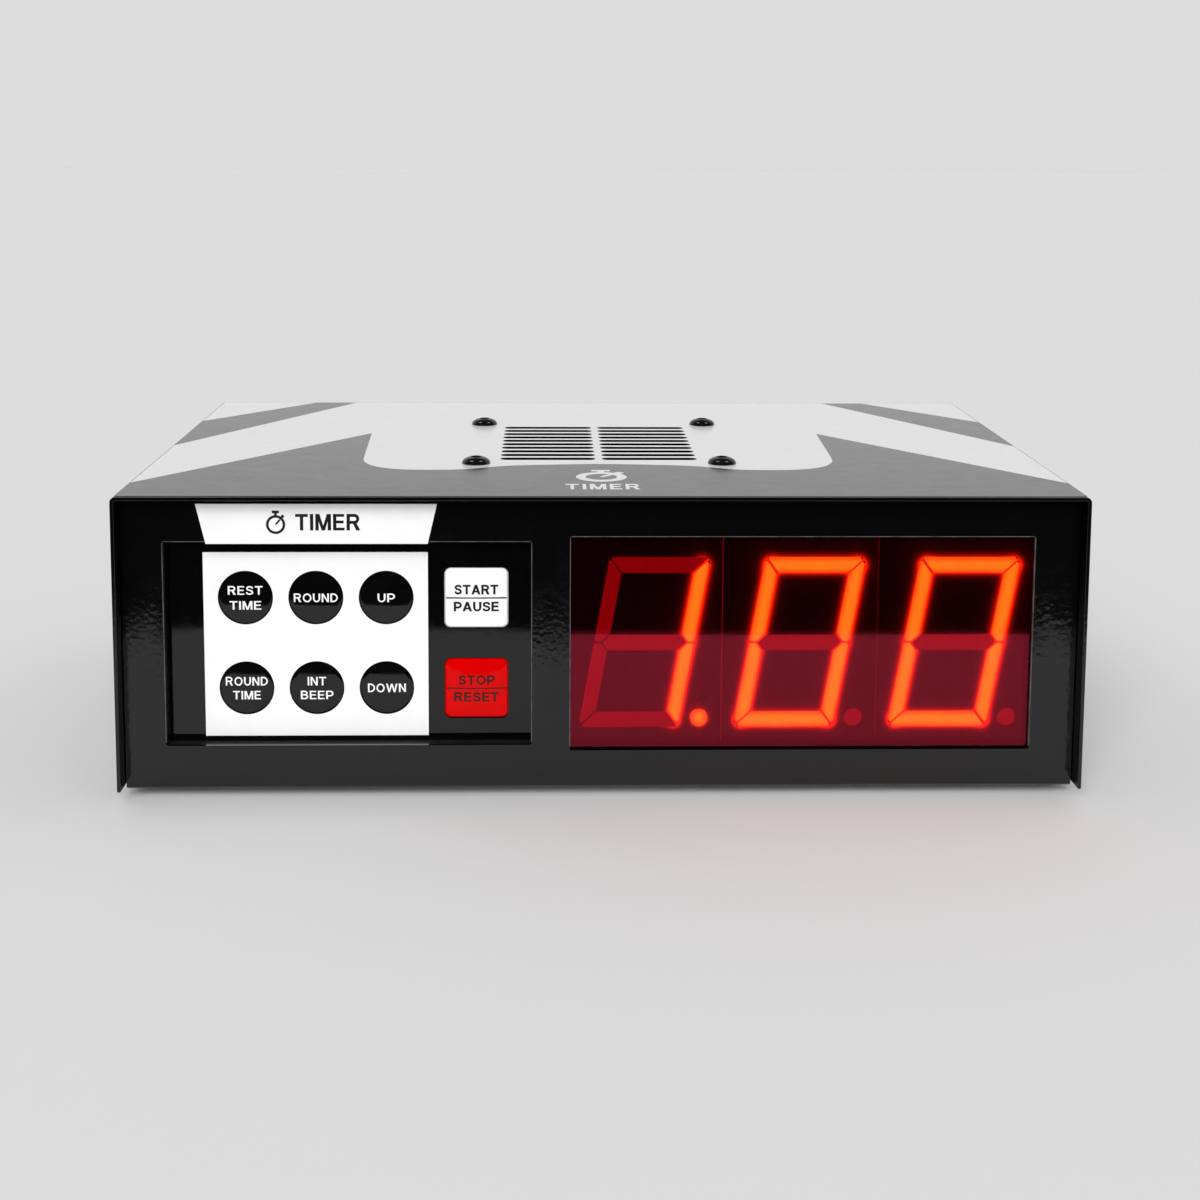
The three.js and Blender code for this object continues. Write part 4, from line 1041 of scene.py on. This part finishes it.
def rocker():
    """The rocker, with the marks of off and on on its lower and upper facets."""
    solid = refined("power_rocker")
    facets = sorted((face for face in solid.polygons if face.normal.y > 0.9), key=lambda face: face.center.z)
    marks = [plate(circle(0, 0, 1.6), 0, INK, [circle(0, 0, 1.15)]), prism(rectangle(0, 0, 0.5, 3.2), 0, INK)]
    for facet, mark in zip(facets, marks):
        facing_out = Vector((0, 0, 1)).rotation_difference(facet.normal).to_matrix().to_4x4()
        moved(mark, facing_out, Matrix.Translation(facet.center))
    piece("rocker_marks", joined(*marks), "black_plastic", body="power_rocker", material=WHITE_INK)
    piece("rocker_cap", solid, "black_plastic", body="power_rocker", node="power_rocker", edge=0.3)


def refined_pieces():
    edges = {
        "dc_jack": 0.12, "power_switch": 0.3, "volume_pot": 0.1, "volume_nut": 0.15, "speaker_basket": 0.08,
        "speaker_gasket": 0.1, "speaker_magnet": 0.4, "speaker_ring": 0.1,
    }
    slots = {part["node"]: part["material_slot"] for part in frame["record"]["subparts"]}
    for node, edge in edges.items():
        piece(f"{node}_body", refined(node), slots[node], node=node, edge=edge)
    cone = "speaker_cone"
    piece(f"{cone}_body", refined(cone), slots[cone], body=cone, node=cone)


# ---- Stage ----

def stage():
    """A pale floor. Its part before the timer doesn't show in reflections."""
    material = finish("floor", grey(0.742), 0.9, Specular_IOR_Level=0)
    reach, near = 9, -0.288  # metres
    for name, front, back in (("floor", near, reach), ("floor_front", -reach, near)):
        mesh = bpy.data.meshes.new(name)
        corners = [(-reach, front, 0), (reach, front, 0), (reach, back, 0), (-reach, back, 0)]
        mesh.from_pydata(corners, [], [(0, 1, 2, 3)])
        mesh.materials.append(material)
        floor = placed(name, mesh)
        floor.visible_glossy = name == "floor"


def world():
    """A grey backdrop, soft light from above and behind, and a bright wall and two lamps in reflections."""
    backdrop = bpy.data.worlds.new("studio")
    bpy.context.scene.world = backdrop
    backdrop.use_nodes = True
    tree = backdrop.node_tree
    tree.nodes.clear()
    direction = add_node(tree, "TexCoord", {})["Generated"]
    parts = add_node(tree, "SeparateXYZ", {"Vector": direction})
    rays = add_node(tree, "LightPath", {})

    def spread(value, low, high):
        inputs = {"Value": value, "From Min": low, "From Max": high}
        return add_node(tree, "MapRange", inputs, interpolation_type="SMOOTHSTEP")["Result"]

    def light_of(strength):
        return add_node(tree, "Background", {"Color": (1, 1, 1, 1), "Strength": strength})["Background"]

    def choose(ray, usual, other):
        return add_node(tree, "MixShader", {"Fac": rays[ray], 1: usual, 2: other})["Shader"]

    rear = spread(parts["Y"], -0.1, 0.5)
    above = spread(parts["Z"], 0.1, 0.6)
    light = math_node(tree, "MULTIPLY_ADD", math_node(tree, "MAXIMUM", rear, above), 0.55, 0.03)
    wall = math_node(tree, "MULTIPLY", rear, math_node(tree, "SUBTRACT", 1.0, spread(parts["Z"], 0.5, 0.85)))
    mirrored = math_node(tree, "MULTIPLY_ADD", wall, 0.76, 0.015)
    for lamp in ((-0.35, 0.05, 0.93), (0.4, 0.0, 0.91)):
        facing_lamp = vector_node(tree, "DOT_PRODUCT", direction, Vector(lamp).normalized())
        mirrored = math_node(tree, "MULTIPLY_ADD", spread(facing_lamp, 0.985, 0.995), 6.0, mirrored)
    lit = choose("Is Glossy Ray", light_of(light), light_of(mirrored))
    add_node(tree, "OutputWorld", {"Surface": choose("Is Camera Ray", lit, light_of(0.716))})


def key_light():
    """A soft light from above the camera, which doesn't show in reflections."""
    light = bpy.data.lights.new("key", "SUN")
    light.energy = 2.75
    light.angle = radians(40)
    lamp = placed("key", light)
    lamp.rotation_euler = (radians(60), 0, radians(-8))
    lamp.visible_glossy = False


def camera():
    """The camera stands before the timer, a little above it and left of its middle."""
    data = bpy.data.cameras.new("camera")
    data.lens = 55.76
    data.shift_y = -0.2
    data.dof.use_dof = False
    thing = placed("camera", data)
    thing.location = Vector((-17.8, -676.1, 214.3)) * MM
    pitch, yaw, roll = radians(7.09), radians(1.62), radians(0.346)
    turn = Matrix.Rotation(-yaw, 4, "Z") @ Matrix.Rotation(pi / 2 - pitch, 4, "X")
    thing.rotation_euler = (turn @ Matrix.Rotation(roll, 4, "Z")).to_euler()
    bpy.context.scene.camera = thing


camera()
bpy.context.scene.view_settings.view_transform = "Standard"
world()
key_light()
stage()

MATERIALS["diffuser"] = unlit_diffuser()
top_cover()
top_decal()
screws()
chassis()
feet()
header_label()
keypad()
keys()
digits()
lens()
knob()
dial()
rocker()
refined_pieces()

for subpart in frame["record"]["subparts"]:
    thing = frame["nodes"][subpart["node"]]
    thing.data.materials.clear()
    thing.data.materials.append(MATERIALS[subpart["material_slot"]])
